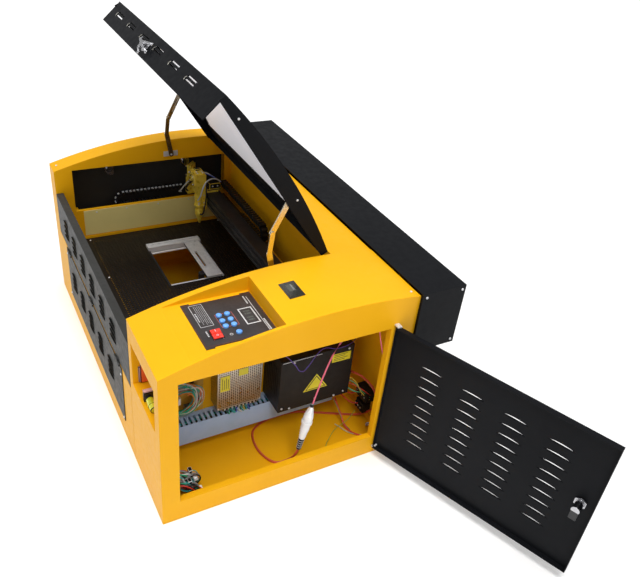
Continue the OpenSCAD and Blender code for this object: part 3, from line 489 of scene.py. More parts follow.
def perforated_bed():
    """The bed plate with its rows of round holes cut right through."""
    low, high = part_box("bed_plate")
    pitch, radius, sides = 0.009, 0.0021, 8
    clamp_low, clamp_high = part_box("clamp_frame")
    margin = 0.0135
    hole_x = (st(190, 0, 0).x, st(398, 0, 0).x)
    hole_y = (st(0, 226, 0).y, st(0, 392, 0).y)
    keep_x = (clamp_low.x - 0.004, clamp_high.x + 0.004)
    keep_y = (clamp_low.y - 0.004, clamp_high.y + 0.004)
    nx = int((high.x - low.x - 2 * margin) / pitch)
    ny = int((high.y - low.y - 2 * margin) / pitch)
    start_x = low.x + (high.x - low.x - nx * pitch) / 2
    start_y = low.y + (high.y - low.y - ny * pitch) / 2
    h = pitch / 2
    bm = bmesh.new()

    def plate(x0, x1, y0, y1):
        for z, flip in ((high.z, False), (low.z, True)):
            corners = [(x0, y0), (x1, y0), (x1, y1), (x0, y1)]
            verts = [bm.verts.new((x, y, z)) for x, y in corners]
            bm.faces.new(list(reversed(verts)) if flip else verts)

    def cell(cx, cy):
        outline = []
        for k in range(sides):
            angle = TAU * (k + 0.5) / sides
            c, s = math.cos(angle), math.sin(angle)
            grow = h / max(abs(c), abs(s))
            outline.append(((cx + c * grow, cy + s * grow), (cx + c * radius, cy + s * radius)))
        corners = [(cx + h, cy + h), (cx - h, cy + h), (cx - h, cy - h), (cx + h, cy - h)]
        rings = {}
        for z in (high.z, low.z):
            outer = [bm.verts.new((*o, z)) for o, _ in outline]
            inner = [bm.verts.new((*i, z)) for _, i in outline]
            corner = [bm.verts.new((*c, z)) for c in corners]
            rings[z] = inner
            for k in range(sides):
                j = (k + 1) % sides
                loop = [inner[k], outer[k]]
                if k % 2 == 0:
                    loop.append(corner[k // 2])
                loop += [outer[j], inner[j]]
                bm.faces.new(loop if z == high.z else list(reversed(loop)))
        top, bottom = rings[high.z], rings[low.z]
        for k in range(sides):
            j = (k + 1) % sides
            bm.faces.new((top[k], top[j], bottom[j], bottom[k]))

    for i in range(nx):
        for j in range(ny):
            cx, cy = start_x + (i + 0.5) * pitch, start_y + (j + 0.5) * pitch
            if not (keep_x[0] < cx < keep_x[1] and keep_y[0] < cy < keep_y[1]):
                cell(cx, cy)
    # Plain borders, and the plain field around the clamp
    x_end, y_end = start_x + nx * pitch, start_y + ny * pitch
    plate(low.x, high.x, low.y, start_y)
    plate(low.x, high.x, y_end, high.y)
    plate(low.x, start_x, start_y, y_end)
    plate(x_end, high.x, start_y, y_end)
    cells_x = [start_x + i * pitch for i in range(nx + 1)]
    cells_y = [start_y + j * pitch for j in range(ny + 1)]
    in_x = [x for x in cells_x[:-1] if keep_x[0] < x + h < keep_x[1]]
    in_y = [y for y in cells_y[:-1] if keep_y[0] < y + h < keep_y[1]]
    fx0, fx1, fy0, fy1 = in_x[0], in_x[-1] + pitch, in_y[0], in_y[-1] + pitch
    plate(fx0, fx1, fy0, hole_y[0])
    plate(fx0, fx1, hole_y[1], fy1)
    plate(fx0, hole_x[0], hole_y[0], hole_y[1])
    plate(hole_x[1], fx1, hole_y[0], hole_y[1])

    def wall(p, q):
        verts = [bm.verts.new((*p, low.z)), bm.verts.new((*q, low.z)),
                 bm.verts.new((*q, high.z)), bm.verts.new((*p, high.z))]
        bm.faces.new(verts)

    for x0, x1, y0, y1 in ((low.x, high.x, low.y, high.y), (hole_x[0], hole_x[1], hole_y[0], hole_y[1])):
        ring = [(x0, y0), (x1, y0), (x1, y1), (x0, y1)]
        for k in range(4):
            wall(ring[k], ring[(k + 1) % 4])
    bmesh.ops.remove_doubles(bm, verts=bm.verts, dist=1e-6)
    bmesh.ops.recalc_face_normals(bm, faces=bm.faces)
    mesh = bpy.data.meshes.new("bed_perforated")
    bm.to_mesh(mesh)
    bm.free()
    mesh.materials.append(BED)
    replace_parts(show("bed_perforated", mesh, "bed_steel", "cabinet"), "bed_plate")


perforated_bed()

# ---- louvres


def hood(piece, middle, along, out, down, length, depth, rise, straight_lip=False):
    """A pressed louvre hood: a curved lip that stands off the sheet over its slot."""
    middle, along, out, down = (Vector(v) for v in (middle, along, out, down))
    thickness, sides = 0.8, 10
    rows = []
    for i in range(sides + 1):
        t = -1 + 2 * i / sides
        reach = math.sqrt(max(0.0, 1 - t * t)) ** 0.8
        base = middle + along * (t * length / 2) - down * depth * (reach if straight_lip else 0.55)
        row = []
        for u in (0.0, 0.35, 0.7, 1.0):
            lift = math.sin(u * math.pi / 2) * rise * reach
            row.append(base + down * (u * depth * reach) + out * lift)
        rows.append(row)
    outer = [[piece.bm.verts.new(st(*p)) for p in row] for row in rows]
    inner = [[piece.bm.verts.new(st(*(p - out * thickness - down * 0.1))) for p in row] for row in rows]
    faces = []
    for i in range(sides):
        for k in range(3):
            faces.append((outer[i][k], outer[i + 1][k], outer[i + 1][k + 1], outer[i][k + 1]))
            faces.append((inner[i][k], inner[i][k + 1], inner[i + 1][k + 1], inner[i + 1][k]))
        faces.append((outer[i][3], outer[i + 1][3], inner[i + 1][3], inner[i][3]))
        faces.append((outer[i][0], inner[i][0], inner[i + 1][0], outer[i + 1][0]))
    for i in (0, sides):
        for k in range(3):
            faces.append((outer[i][k], outer[i][k + 1], inner[i][k + 1], inner[i][k]))
    for f in faces:
        face = piece.bm.faces.new(f)
        face.smooth = True


def front_louvres():
    x_dir, out, up = (1, 0, 0), (0, -1, 0), (0, 0, 1)
    flap = Piece("flap_louvre_hoods", "flap", "black_paint", FRONT_BLACK)
    for i in range(6):
        for row in range(4):
            hood(flap, (176 + 99 * i, 0.2, 269 + 15 * row), x_dir, out, up, 50, 8.5, 5)
    flap.done()
    lower = Piece("vent_louvre_hoods", "cabinet", "black_paint", FRONT_BLACK)
    for i in range(5):
        for row in range(4):
            hood(lower, (232 + 99 * i, -1.8, 125 + 15 * row), x_dir, out, up, 50, 8.5, 5)
    # Dark strip in the darkest black paint behind the seam between the two panels
    lower.block((151, 0.2, 223), (739, 1.2, 236), 0, BLACK)
    lower.done()


front_louvres()


def door_louvres():
    skin = 1034.0
    door = Piece("door_louvre_hoods", "door", "black_paint", place=DOOR_PLACE)
    for column in range(4):
        for row in range(9):
            y = 552 - 76 - 102.3 * column - 30
            z = 102 + 28.7 * row
            hood(door, (skin - 0.3, y, z + 2.2), (0, 1, 0), (1, 0, 0), (0, 0, -1), 70, 6.5, 5, True)
            # The lower half of the slot is closed by the foot of the louvre
            door.block((skin - 1.4, y - 31.5, z - 2), (skin - 0.1, y + 31.5, z + 1.6), 0)
    door.done()


door_louvres()

# ---- drag chains


def chain(name, body, node, place, length, pitch, across, height, glint_length=0):
    """Links of a drag chain; place gives the middle, the tangent angle and its axis at a length.

    The links up to the length given by glint_length carry a painted highlight on their rim: a white mark
    standing in for light glancing off the link edges.
    """
    links = Piece(name, body, "chain_plastic")

    def slab(s, along, wide, z0, z1, bevel=0.0, material=None, aside=0.0):
        """A block at a length along the chain, turned with it."""
        middle, angle, axis = place(s)
        turn = Matrix.Rotation(angle, 4, axis)
        size, shift = ((along, wide), (0, aside, 0)) if axis == "Y" else ((wide, along), (aside, 0, 0))
        half = Vector((*size, z1 - z0)) / 2
        at = Vector(middle) + Vector(shift) + turn @ Vector((0, 0, (z0 + z1) / 2))
        links.block(at - half, at + half, bevel, material, turn)

    h, link, bar, step = height / 2, pitch - 1.2, 1.4, 3
    for i in range(int(length / pitch)):
        s = (i + 0.5) * pitch
        slab(s, link, across, -h + 0.6, h - 1.2, 1.0)
        for z in (h - bar, -h):
            slab(s, 0.55 * link, across, z, z + bar, 0.5, CHAIN_BAR)
        # Painted highlight on the rims of the first links, standing in for light glancing off their edges
        if s < glint_length:
            slab(s, 7, 5, h - 3, h + 1, 0.4, CHAIN_GLINT, across / 2 - 2.6)
    # A core that closes the gaps between the links
    for i in range(int(length / step)):
        slab((i + 0.5) * step, step + 0.4, across - 5, -0.6 * h, 0.6 * h)
    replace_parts(links.done(), node)


def chain_path(run, r, turn_axis, at):
    """Along a chain: the top run, the bend, then the bottom run back."""
    def place(s):
        s -= run
        if s < 0:
            along, up, angle = run + s, r, 0.0
        elif s < math.pi * r:
            angle = s / r
            along, up = run + r * math.sin(angle), r * math.cos(angle)
        else:
            along, up, angle = run - (s - math.pi * r), -r, 0.0
        return at(along, up), angle, turn_axis
    return place


left_run, left_r, beam_run, beam_r = 192, 18.5, 300, 22.5
chain("left_chain_links", "cabinet", "y_chain",
      chain_path(left_run, left_r, "X", lambda along, up: (22, 392 - along, 288 + up)),
      left_run + math.pi * left_r + 140, 11.6, 16, 13, 236)
chain("beam_chain_links", "gantry", "x_chain",
      chain_path(beam_run, beam_r, "Y", lambda along, up: (100 + along, 501, 318 + up)),
      beam_run + math.pi * beam_r + 158, 13, 20, 14.6)

# ---- laser head and mirrors


def head_details():
    piece = Piece("head_fittings", "head", "brass_anodised")
    # Mirror adjuster on the front, with its three screws, and a cap on top
    piece.block((79, 399.5, 346.5), (121, 403.2, 383.5), 1.0)
    piece.rod((100, 399.8, 365), (100, 395.5, 365), 13, None, CHROME, 36, 0.8)
    piece.rod((100, 395.7, 365), (100, 394.5, 365), 8.5, None, BRASS, 32, 0.4)
    for x, z in ((84, 351), (116, 351), (84, 379)):
        piece.rod((x, 400, z), (x, 392.5, z), 2.6, None, CHROME, 16, 0.5)
    piece.block((80, 405, 382), (120, 434, 386.5), 1.2)
    piece.block((84, 410, 386.4), (98, 428, 392), 1.0, SATIN_BLACK)
    piece.screws([(x, y, 386.4) for y in (411, 428) for x in (104, 115)], (0, 0, 1), 2.6, STEEL)
    # Clamp ring and thumb screw of the lens tube
    piece.rod((100, 423, 268), (100, 423, 274), 17, None, None, 40, 0.8)
    piece.rod((100, 423, 300), (100, 423, 306), 16.4, None, None, 40, 0.8)
    piece.rod((114, 417, 283), (124, 412, 283), 3.2, None, STEEL, 18, 0.6)
    # Black carriage plate with its wheels' screws
    piece.block((79, 441, 325.2), (123, 487, 331), 1.0, SATIN_BLACK)
    piece.block((100, 448, 330.5), (123, 484, 349), 1.5, CHAIN)
    for x, y in ((85, 447), (85, 480)):
        piece.rod((x, y, 330.8), (x, y, 336), 4, None, STEEL, 18, 0.7)
    piece.screws([(123, y, 340) for y in (458, 474)], (1, 0, 0), 2.6, STEEL)
    piece.screws([(x, 432, z) for z in (272, 284, 310) for x in (82, 118)], (0, -1, 0), 2.4, STEEL)
    piece.done()
    # Hose barb on the nozzle
    barb = Piece("nozzle_barb", "nozzle", "brass_anodised")
    barb.rod((112, 421, 246), (121, 418, 246), 2.6, 2.2, None, 16, 0.4)
    barb.rod((100, 423, 254), (100, 423, 256.5), 14.4, 13.2, None, 40, 0.5)
    barb.done()
    wire("air_hose", [(120, 418, 246), (130, 421, 250), (133, 428, 275), (131, 434, 310),
                      (122, 438, 335), (114, 446, 352)], 2.2, "black", "head", "belt")
    wire("clear_hose", [(119, 411, 296), (130, 415, 315), (131, 424, 344), (124, 440, 361),
                        (116, 466, 362), (110, 490, 346)], 2.1, CLEAR_HOSE, "head", "white_plastic")
    for k, shift in enumerate((0, 3.2, 6.0)):
        wire("head_cable_%d" % (k + 1), [(92 + shift, 430, 372), (88 + shift, 442, 378 - shift),
                                       (98 + shift, 462, 366), (106 + shift, 490, 345)],
             1.7, ("black", "white", "blue")[k], "head", "belt")


def mirror_details():
    """Adjuster screws with springs behind mirror 2, and the mirror discs."""
    for name, body, at, turn in (("mirror_2_fittings", "gantry", (38, 418, 365), -45),
                                 ("mirror_1_fittings", "cabinet", (38, 668, 365), -135)):
        piece = Piece(name, body, "brass_anodised")
        a = math.radians(turn)

        def local(u, v, w):
            return (at[0] + u * math.cos(a) - v * math.sin(a),
                    at[1] + u * math.sin(a) + v * math.cos(a), at[2] + w)

        piece.rod(local(0, 9.6, 0), local(0, 10.6, 0), 11.5, None, CHROME, 36, 0.3)
        piece.rod(local(0, 6.8, 0), local(0, 9.0, 0), 15, None, None, 40, 0.6)
        for u, w in ((-13, -15), (-13, 15), (13, -15), (13, 15)):
            piece.rod(local(u, -8, w), local(u, -12.5, w), 3.4, None, CHROME, 20, 0.7)
            for k in range(3):
                piece.rod(local(u, -0.3 + k * 0.9, w), local(u, 0.2 + k * 0.9, w), 3.0, None, STEEL, 16)
        piece.done()
    wire("air_loop", [(77, 402, 352), (66, 388, 330), (54, 377, 306), (42, 376, 296), (35, 386, 291)],
         2.0, "white", "gantry", "white_plastic")
    for k in range(2):
        wire("gantry_cable_%d" % (k + 1), [(74, 404, 344 - 6 * k), (66, 396, 330 - 6 * k),
                                         (62, 392, 316 - 5 * k), (60, 400, 303)],
             1.6, "black", "gantry", "belt")


head_details()
mirror_details()

# ---- lid

LATCH_X = 390
LEAN_SIN, LEAN_COS = math.sin(math.radians(17)), math.cos(math.radians(17))
ARCH_TOP, ARCH_Y, ARCH_R = 484, 415, 1377.5


def arch_z(y):
    """Height of the arched top over a station."""
    return ARCH_TOP - ARCH_R + math.sqrt(ARCH_R ** 2 - (y - ARCH_Y) ** 2)


def latch(u, v, w):
    """A station near the closed lid's latch: along the lip, up it and out from it."""
    depth = 38 - v
    return (LATCH_X + u, 4 + depth * LEAN_SIN - (w + 0.3) * LEAN_COS,
            420.6 - depth * LEAN_COS - (w + 0.3) * LEAN_SIN)


def lid_details():
    piece = Piece("latch_butterfly", "latch", "chrome", place=LID_PLACE)
    piece.rod(latch(0, 0, 0), latch(0, 0, 3), 13, None, None, 40, 0.8)
    piece.rod(latch(0, 0, 2.8), latch(0, 0, 12), 8, 6.5, None, 32, 0.8)
    piece.rod(latch(0, 0, 11.5), latch(0, 0, 17), 8.5, 5.5, None, 32, 1.2)
    for u, v in ((-33, 8), (31, 13), (34, -8), (4, -20)):
        elbow = latch(u * 0.55, v * 0.55, 14.5)
        tip = latch(u, v, 8.5 if abs(u) > 5 else 6)
        piece.rod(latch(0, 0, 12.5), elbow, 4.4, 3.2, None, 18, 0.6)
        piece.rod(elbow, tip, 3.4, 2.8, None, 18, 0.6)
        piece.rod(latch(u * 1.02, v * 1.02, 5.5), latch(u * 1.02, v * 1.02, 9.5), 4.4, None, None, 20, 1.0)
    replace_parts(piece.done(), "lid_latch")

    # Narrow strips that leave thin slots in the lip, and a light grey arc round one end of each pair, a
    # painted highlight standing in for light seen through the slot's rounded end
    straps = Piece("lip_straps", "lid", "black_paint", place=LID_PLACE)
    out = Vector((0, -LEAN_COS, -LEAN_SIN)) * 0.5
    for x in (141, 245, 349, 452, 560, 662):
        u = x - LATCH_X
        for v in (5.9, 14.9):
            straps.prism([latch(u - 23.5, v, -0.5), latch(u + 23.5, v, -0.5),
                          latch(u + 23.5, v + 1.5, -0.5), latch(u - 23.5, v + 1.5, -0.5)], out)
        # Painted highlight: the zinc arc stands in for light seen through each slot's rounded end
        bend = [latch(u - 23 - 5 * math.sin(a), 9.9 - 5 * math.cos(a), 0.2)
                for a in (0.15 + 0.284 * k for k in range(11))]
        for start, end in zip(bend, bend[1:]):
            straps.rod(start, end, 0.9, None, ZINC, 10)
    straps.done()

    heads = Piece("lid_screws", "lid", "plain_steel", place=LID_PLACE)
    for columns, rows in (((120, 749), (96, 180, 264, 348, 408)), ((275, 435, 594), (81, 410))):
        for x in columns:
            for y in rows:
                heads.screw((x, y, arch_z(y) - 5.4), (0, (y - ARCH_Y) / ARCH_R, -1), 3.6)
    for x, out in ((66, -1), (803, 1)):
        heads.screws([(x, y, arch_z(y) - 14) for y in (60, 300)], (out, 0, 0), 2.6)
    heads.done()
    bosses = Piece("stay_head_nuts", "lid", "chrome")
    for x, out in ((73.6, 1), (795.4, -1)):
        bosses.rod((x, 373, 632), (x + out * 5.2, 373, 632), 6, 5.2, None, 6, 0.5)
    bosses.done()


lid_details()

# ---- control panel


def panel_details():
    print_z, line = 442.0, 0.35
    piece = Piece("panel_print", "cabinet", "overlay", PALE_LINE)

    def bar(x, y, material=None, z0=print_z):
        piece.block((x[0], y[0], z0), (x[1], y[1], z0 + line), 0, material)

    def frame_lines(x, y, width, material=None, z0=print_z):
        """Four bars around a rectangle."""
        bar((x[0], x[1]), (y[0], y[0] + width), material, z0)
        bar((x[0], x[1]), (y[1] - width, y[1]), material, z0)
        bar((x[0], x[0] + width), (y[0] + width, y[1] - width), material, z0)
        bar((x[1] - width, x[1]), (y[0] + width, y[1] - width), material, z0)

    frame_lines((842, 921), (123, 152), 1.0)
    for k, (start, end) in enumerate(((847, 915), (847, 912), (847, 915), (847, 905), (847, 913))):
        bar((start, end), (147.6 - 3.8 * k, 148.1 - 3.8 * k))
    frame_lines((889.5, 936.5), (164.0, 202.0), 0.8, RED_LINE)
    frame_lines((888, 945), (216, 247.5), 2.8, PALE_LINE, 443)
    bar((849, 976), (252.4, 253.6))
    for count, x, width, step, y in (
        (5, 872, 4.5, 6.4, (126.6, 129.2)), (9, 936, 3, 4.4, (255.2, 258.6)),
        (7, 846, 3, 4.2, (245.2, 248.2)), (4, 936, 3.2, 5, (126.8, 129.8)),
    ):
        for k in range(count):
            bar((x + step * k, x + step * k + width), y)
    bar((966, 969), (133, 135), RED_LINE)
    bar((966, 969), (153, 155))
    # A plain ring beside the last key
    piece.ring(962, 173.5, print_z, 2.6, 3.5, line, 20)
    # Border of the overlay
    frame_lines((838, 985), (110, 267), 1.6, RED_BROWN)
    piece.done()
    keys = [(895, 172), (915, 172), (934, 172), (895, 190.5), (915, 190.5), (934, 190.5), (961, 190.5)]
    for number, (x, y) in enumerate(keys, 1):
        key = Piece("key_top_%d" % number, "button_%d" % number, "button_blue")
        key.rod((x, y, 444.8), (x, y, 446.2), 6.3, 5.2, None, 32, 0.5)
        key.done()
    screen = Piece("screen_glass", "cabinet", "display")
    screen.block((890.8, 218.8, 442.9), (942.2, 244.7, 443.2), 0.1, OVERLAY)
    for x in (898, 906.5, 920, 928.5):
        screen.block((x, 225, 443.15), (x + 5, 239, 443.3), 0, SEGMENT)
    screen.done()


panel_details()


def meter_details():
    """A plain dark face with a pale window and marks on the current meter."""
    tilt = math.radians(3.47)
    piece = Piece("meter_face", "cabinet", "display")
    middle_y, middle_z = 331.5, 482.97

    def face(x, y, lift):
        run = y - middle_y
        return (x, middle_y + run * math.cos(tilt) - lift * math.sin(tilt),
                middle_z + run * math.sin(tilt) + lift * math.cos(tilt))

    def plate(x, y, low, high, material):
        corners = [face(x[0], y[0], low), face(x[1], y[0], low), face(x[1], y[1], low), face(x[0], y[1], low)]
        top = Vector(face(0, y[0], high)) - Vector(face(0, y[0], low))
        piece.prism(corners, top, material)

    plate((886, 938), (316, 347), -0.4, 0.5, SCREEN)
    plate((893, 918), (324, 339), 0.45, 0.65, SEGMENT)
    for k in range(6):
        plate((895 + 3.6 * k, 896 + 3.6 * k), (334, 337), 0.6, 0.75, PALE_LINE)
    piece.done()


meter_details()


def rocker_details():
    pivot = st(953, 145, 442)
    tilt = Matrix.Translation(pivot) @ Matrix.Rotation(math.radians(8), 4, "Y") @ Matrix.Translation(-pivot)
    piece = Piece("rocker_marks", "rocker", "red_plastic", place=tilt)
    piece.block((943.0, 143.2, 447.9), (948.5, 144.4, 448.3), 0, PALE_PINK)
    piece.ring(959.5, 144, 447.9, 1.6, 2.4, 0.4, 12, PALE_PINK)
    piece.done()
    frame_piece = Piece("rocker_frame", "cabinet", "chain_plastic")
    for low, high in (((937.5, 132.8), (968.5, 134)), ((937.5, 156), (968.5, 157.2)),
                      ((937.5, 134), (939, 156)), ((967, 134), (968.5, 156))):
        frame_piece.block((*low, 442), (*high, 443.2), 0.3)
    frame_piece.done()


rocker_details()

# ---- electronics bay


def supply_details():
    piece = Piece("hv_supply_fittings", "cabinet", "supply_paint")
    x = 900.1
    piece.block((x, 333, 262.6), (x + 1.2, 438, 264.6), 0.3, STEEL)
    corners = ((361, 113), (432, 122), (488, 112), (364, 258), (340, 118), (515, 118), (515, 258))
    piece.screws([(x, *corner) for corner in corners], (1, 0, 0), 3.0, STEEL)
    piece.prism([(x, 469, 225), (x, 521, 224), (x, 521, 249), (x, 469, 250)], (0.5, 0, 0), LABEL)
    for k, z in enumerate((245, 240, 234, 229)):
        piece.block((x + 0.45, 474, z), (x + 0.6, 512 - 7 * (k % 2), z + 1.6), 0, LABEL_DARK)
    apex, left, right = (430, 203), (396, 153), (464, 153)
    centre = (430, 170)

    def triangle(scale, x0, depth, material):
        corners = [(x0, centre[0] + (p[0] - centre[0]) * scale, centre[1] + (p[1] - centre[1]) * scale)
                   for p in (apex, left, right)]
        piece.prism(corners, (depth, 0, 0), material)

    triangle(1.0, x, 0.4, LABEL)
    triangle(0.84, x + 0.35, 0.2, LABEL_DARK)
    triangle(0.72, x + 0.5, 0.2, LABEL)
    # Fan grille on the near end face
    for k in range(7):
        piece.block((826 + 9 * k, 329.2, 150), (831 + 9 * k, 330.4, 236), 0.3, CHAIN)
    piece.done()
    wire("violet_lead", [(899, 322, 300), (906, 342, 284), (912, 358, 264), (915, 380, 238), (914, 392, 246),
                         (910, 418, 276), (906, 436, 284), (903, 478, 270), (899, 520, 272), (880, 545, 268)],
         1.1, "violet")
    for k in range(3):
        wire("supply_output_%d" % (k + 1), [(880, 531, 128 + 9 * k), (895, 548, 124 + 8 * k),
                                           (915, 566, 116 - 6 * k), (930, 582, 104 - 8 * k)],
             1.2, ("red", "green", "yellow")[k])


def dc_details():
    piece = Piece("dc_supply_fittings", "cabinet", "zinc_sheet", ZINC)
    x = 853.0
    piece.screws([(x, y, z) for z in (128, 337, 232) for y in (193, 301)], (1, 0, 0), 2.6, STEEL)
    for y in ((190, 193), (301, 304)):
        piece.block((x, y[0], 125), (x + 0.8, y[1], 340), 0.2)
    piece.block((x, 190, 125), (x + 0.8, 304, 128), 0.2)
    piece.block((x + 0.1, 197, 182), (x + 1.1, 221, 228), 0.2, LABEL)
    piece.block((x + 0.1, 243, 219), (x + 1.1, 267, 239), 0.2, LABEL)
    for k in range(4):
        piece.block((x + 1.0, 201 + 5 * k, 188), (x + 1.2, 202.4 + 5 * k, 222 - 5 * (k % 2)), 0,
                    LABEL_DARK)
    # Terminal strip under the case
    piece.block((840, 205, 116), (851, 296, 124.5), 1.0, CHAIN)
    piece.screws([(851, 211 + 9.6 * k, 120) for k in range(9)], (1, 0, 0), 2.4, STEEL)
    piece.done()
    colors = ("green", "teal", "teal", "blue", "white", "green", "yellow", "teal", "blue")
    for k, color in enumerate(colors):
        y = 222 + 6.2 * k
        wire("dc_lead_%d" % (k + 1), [(851, y, 120), (858 + rng.uniform(0, 4), y - 2, 118),
                                      (859 + rng.uniform(0, 5), y + rng.uniform(-6, 6), 110),
                                      (848, y + rng.uniform(-4, 4), 106), (836, y + 4, 97)],
             1.25, color)
    # Bundle of leads that lies in the slotted duct
    for k in range(7):
        x, z = 818 + 4.2 * k, 74 + 7 * (k % 3)
        wire("duct_lead_%d" % (k + 1), [(x, 60, z - 8), (x + rng.uniform(-2, 2), 180, z + 4),
                                        (x + rng.uniform(-2, 2), 320, z), (x, 515, z - 4)],
             3.4, ("black", "black", "teal", "black", "grey", "black", "brown")[k])


def board_details():
    piece = Piece("board_parts", "cabinet", "circuit_board")
    x = 818
    for y, z, w, h, t, mat in (
        (96, 150, 14, 22, 9, WHITE), (118, 128, 20, 14, 12, SEGMENT), (76, 196, 10, 10, 4, CHAIN),
        (100, 222, 12, 26, 14, ZINC), (122, 216, 18, 30, 16, CHAIN), (70, 246, 40, 8, 12, GREEN_BLOCK),
        (124, 178, 14, 16, 15, ORANGE_BLOCK), (60, 118, 60, 8, 10, GREEN_BLOCK),
    ):
        piece.block((x, y, z), (x + t, y + w, z + h), 0.6, mat)
    for k in range(6):
        piece.rod((x, 64 + 8 * k, 170), (x + 9, 64 + 8 * k, 170), 3.2, None, (CHAIN, ZINC)[k % 2], 18, 0.5)
    piece.done()
    colors = ("teal", "green", "white", "orange", "red", "teal", "white", "grey", "teal", "orange", "white",
              "green", "red", "grey", "white", "teal", "orange", "green")
    for k, color in enumerate(colors):
        top = 232 - 3.5 * k
        reach = 128 + 28 * math.sin(math.pi * (k + 2) / 20) + rng.uniform(-4, 4)
        wire("board_lead_%d" % (k + 1), [
            (828, 76 + rng.uniform(0, 16), top + rng.uniform(-3, 3)),
            (838 + rng.uniform(0, 8), reach - 12, 214 - k * 0.8 + rng.uniform(-6, 6)),
            (840 + rng.uniform(0, 8), reach, 182 + rng.uniform(-10, 10)),
            (838 + rng.uniform(0, 6), reach - 16, 146 + rng.uniform(-8, 8)),
            (830, 78 + rng.uniform(0, 22), 124 + rng.uniform(-4, 8)),
        ], 1.25, color)


def loom():
    """The tangle of leads that lies in the front corner of the bay."""
    colors = ("white", "black", "green", "red", "teal", "grey", "black", "teal")
    for k in range(30):
        x0, y0 = rng.uniform(925, 985), rng.uniform(46, 62)
        wire("loom_%d" % (k + 1), [
            (x0 - 20, y0 - 14, rng.uniform(10, 60)),
            (x0, y0 + rng.uniform(0, 14), rng.uniform(30, 66)),
            (x0 + rng.uniform(-10, 14), y0 + rng.uniform(20, 40), rng.uniform(20, 56)),
            (x0 + rng.uniform(-14, 8), y0 + rng.uniform(34, 50), rng.uniform(6, 24)),
            (x0 - 24, y0 + rng.uniform(14, 34), 5),
        ], rng.uniform(1.3, 2.1), colors[k % len(colors)])
    piece = Piece("loom_plugs", "cabinet", "white_plastic")
    for x, y, z, mat in (
        (952, 92, 40, WHITE), (966, 74, 52, CHAIN), (972, 98, 22, WHITE), (940, 84, 56, CHAIN),
    ):
        piece.block((x, y, z), (x + 13, y + 9, z + 8), 1.0, mat)
    piece.done()


def rear_corner():
    piece = Piece("terminal_blocks", "cabinet", "chain_plastic")
    piece.block((878, 572, 77), (930, 598.4, 107), 2.0)
    piece.block((884, 574, 32), (920, 598.4, 63), 2.0)
    for x, z in ((886, 84), (898, 84), (910, 84), (922, 84), (890, 40), (901, 40), (912, 40)):
        piece.block((x - 3.5, 570.6, z - 4), (x + 3.5, 572.4 if z > 60 else 574.4, z + 14), 0.5)
        piece.screw((x, 571, z + 8), (0, -1, 0), 2.0, STEEL)
    piece.block((944, 572, 14), (949, 592, 22), 1.0, WHITE)
    piece.done()
    runs = (
        ("floor_red", 2.2, "red",
         [(862, 520, 60), (893, 523, 30), (928, 524, 8), (957, 538, 6), (980, 566, 8), (990, 590, 12)]),
        ("floor_olive", 1.4, "olive",
         [(868, 512, 62), (884, 518, 44), (900, 521, 26), (915, 524, 12), (938, 530, 7)]),
        ("floor_green", 0.9, "lime",
         [(976, 436, 4), (960, 446, 8), (946, 462, 10), (926, 491, 14), (919, 530, 26), (916, 552, 50)]),
        ("floor_pale", 1.3, "cream",
         [(908, 500, 12), (918, 510, 7), (938, 520, 5), (957, 539, 5), (969, 567, 6), (976, 590, 14)]),
        ("corner_pink", 1.2, PINK_LEAD,
         [(1001, 508, 420), (1000, 523, 364), (1000, 540, 305), (998, 556, 240), (985, 584, 190)]),
        ("block_red_1", 1.5, "red", [(862, 528, 100), (874, 540, 88), (884, 556, 82), (888, 571, 88)]),
        ("block_red_2", 1.5, "red", [(858, 524, 84), (872, 540, 66), (888, 558, 52), (896, 573, 50)]),
        ("block_red_3", 1.3, "orange", [(858, 528, 76), (874, 546, 58), (884, 560, 46), (890, 573, 46)]),
        ("block_green", 1.4, "green", [(862, 532, 108), (880, 542, 104), (896, 556, 98), (901, 571, 94)]),
    )
    for name, r, color, points in runs:
        wire(name, points, r, color)


def connector_details():
    """Bands, a dark sleeve and the lead's collar on the white in-line connector."""
    top = Vector((985, 372, 190))
    lean = math.radians(10)
    down = Vector((0, -math.sin(lean), -math.cos(lean)))

    def at(depth):
        return top + down * depth

    piece = Piece("connector_fittings", "cabinet", "white_plastic")
    piece.rod(at(43), at(51), 13.4, None, None, 40, 1.0)
    for depth in (8, 14, 20, 66, 74, 82, 90):
        r = 4 + 7 * depth / 26 if depth < 26 else 11 - 4 * (depth - 62) / 36
        piece.rod(at(depth), at(depth + 1.6), r + 0.7, None, None, 32, 0.4)
    for k in range(10):
        a = TAU * k / 10
        side = Vector((math.cos(a), math.sin(a) * math.cos(lean), -math.sin(a) * math.sin(lean)))
        piece.rod(at(27) + side * 10.9, at(42) + side * 10.9, 0.9, None, None, 8)
    piece.rod(at(97), at(132.5), 7.6, 5.4, CHAIN, 32, 0.6)
    for depth in (104, 111, 118, 125):
        piece.rod(at(depth), at(depth + 2), 8.0 - 0.06 * (depth - 97), None, CHAIN, 32, 0.4)
    piece.rod(at(-8), at(1), 3.2, 4.4, CHAIN, 24, 0.5)
    piece.done()


supply_details()
dc_details()
board_details()
loom()
rear_corner()
connector_details()


def second_finish(node, material, chosen):
    """Gives the faces of a CAD mesh that pass a test a material of their own."""
    obj = nodes[node]
    obj.data.materials.append(material)
    for polygon in obj.data.polygons:
        if chosen(obj.matrix_world @ polygon.center):
            polygon.material_index = 1


def shade_details():
    """Dark rails, knob and lock tongue; and the upper lead, which is pink, in the red leads' node."""
    low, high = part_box("clamp_frame")
    front, right = low.y + 0.0075, high.x - 0.0065
    left = st(193.5, 0, 0).x
    second_finish("clamp_frame", SATIN_BLACK, lambda c: c.x > left and (c.y < front or c.x > right))
    knob = st(0, 340, 0).y
    second_finish("clamp_jaw", SATIN_BLACK, lambda c: c.y < knob)
    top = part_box("door_lock")[1].z - 0.024
    second_finish("door_lock", SATIN_BLACK, lambda c: c.z < top)
    lead_end = st(0, 0, 191).z
    second_finish("bay_wiring", PINK_LEAD, lambda c: c.z > lead_end)


shade_details()

# ---- recess, covers and fittings


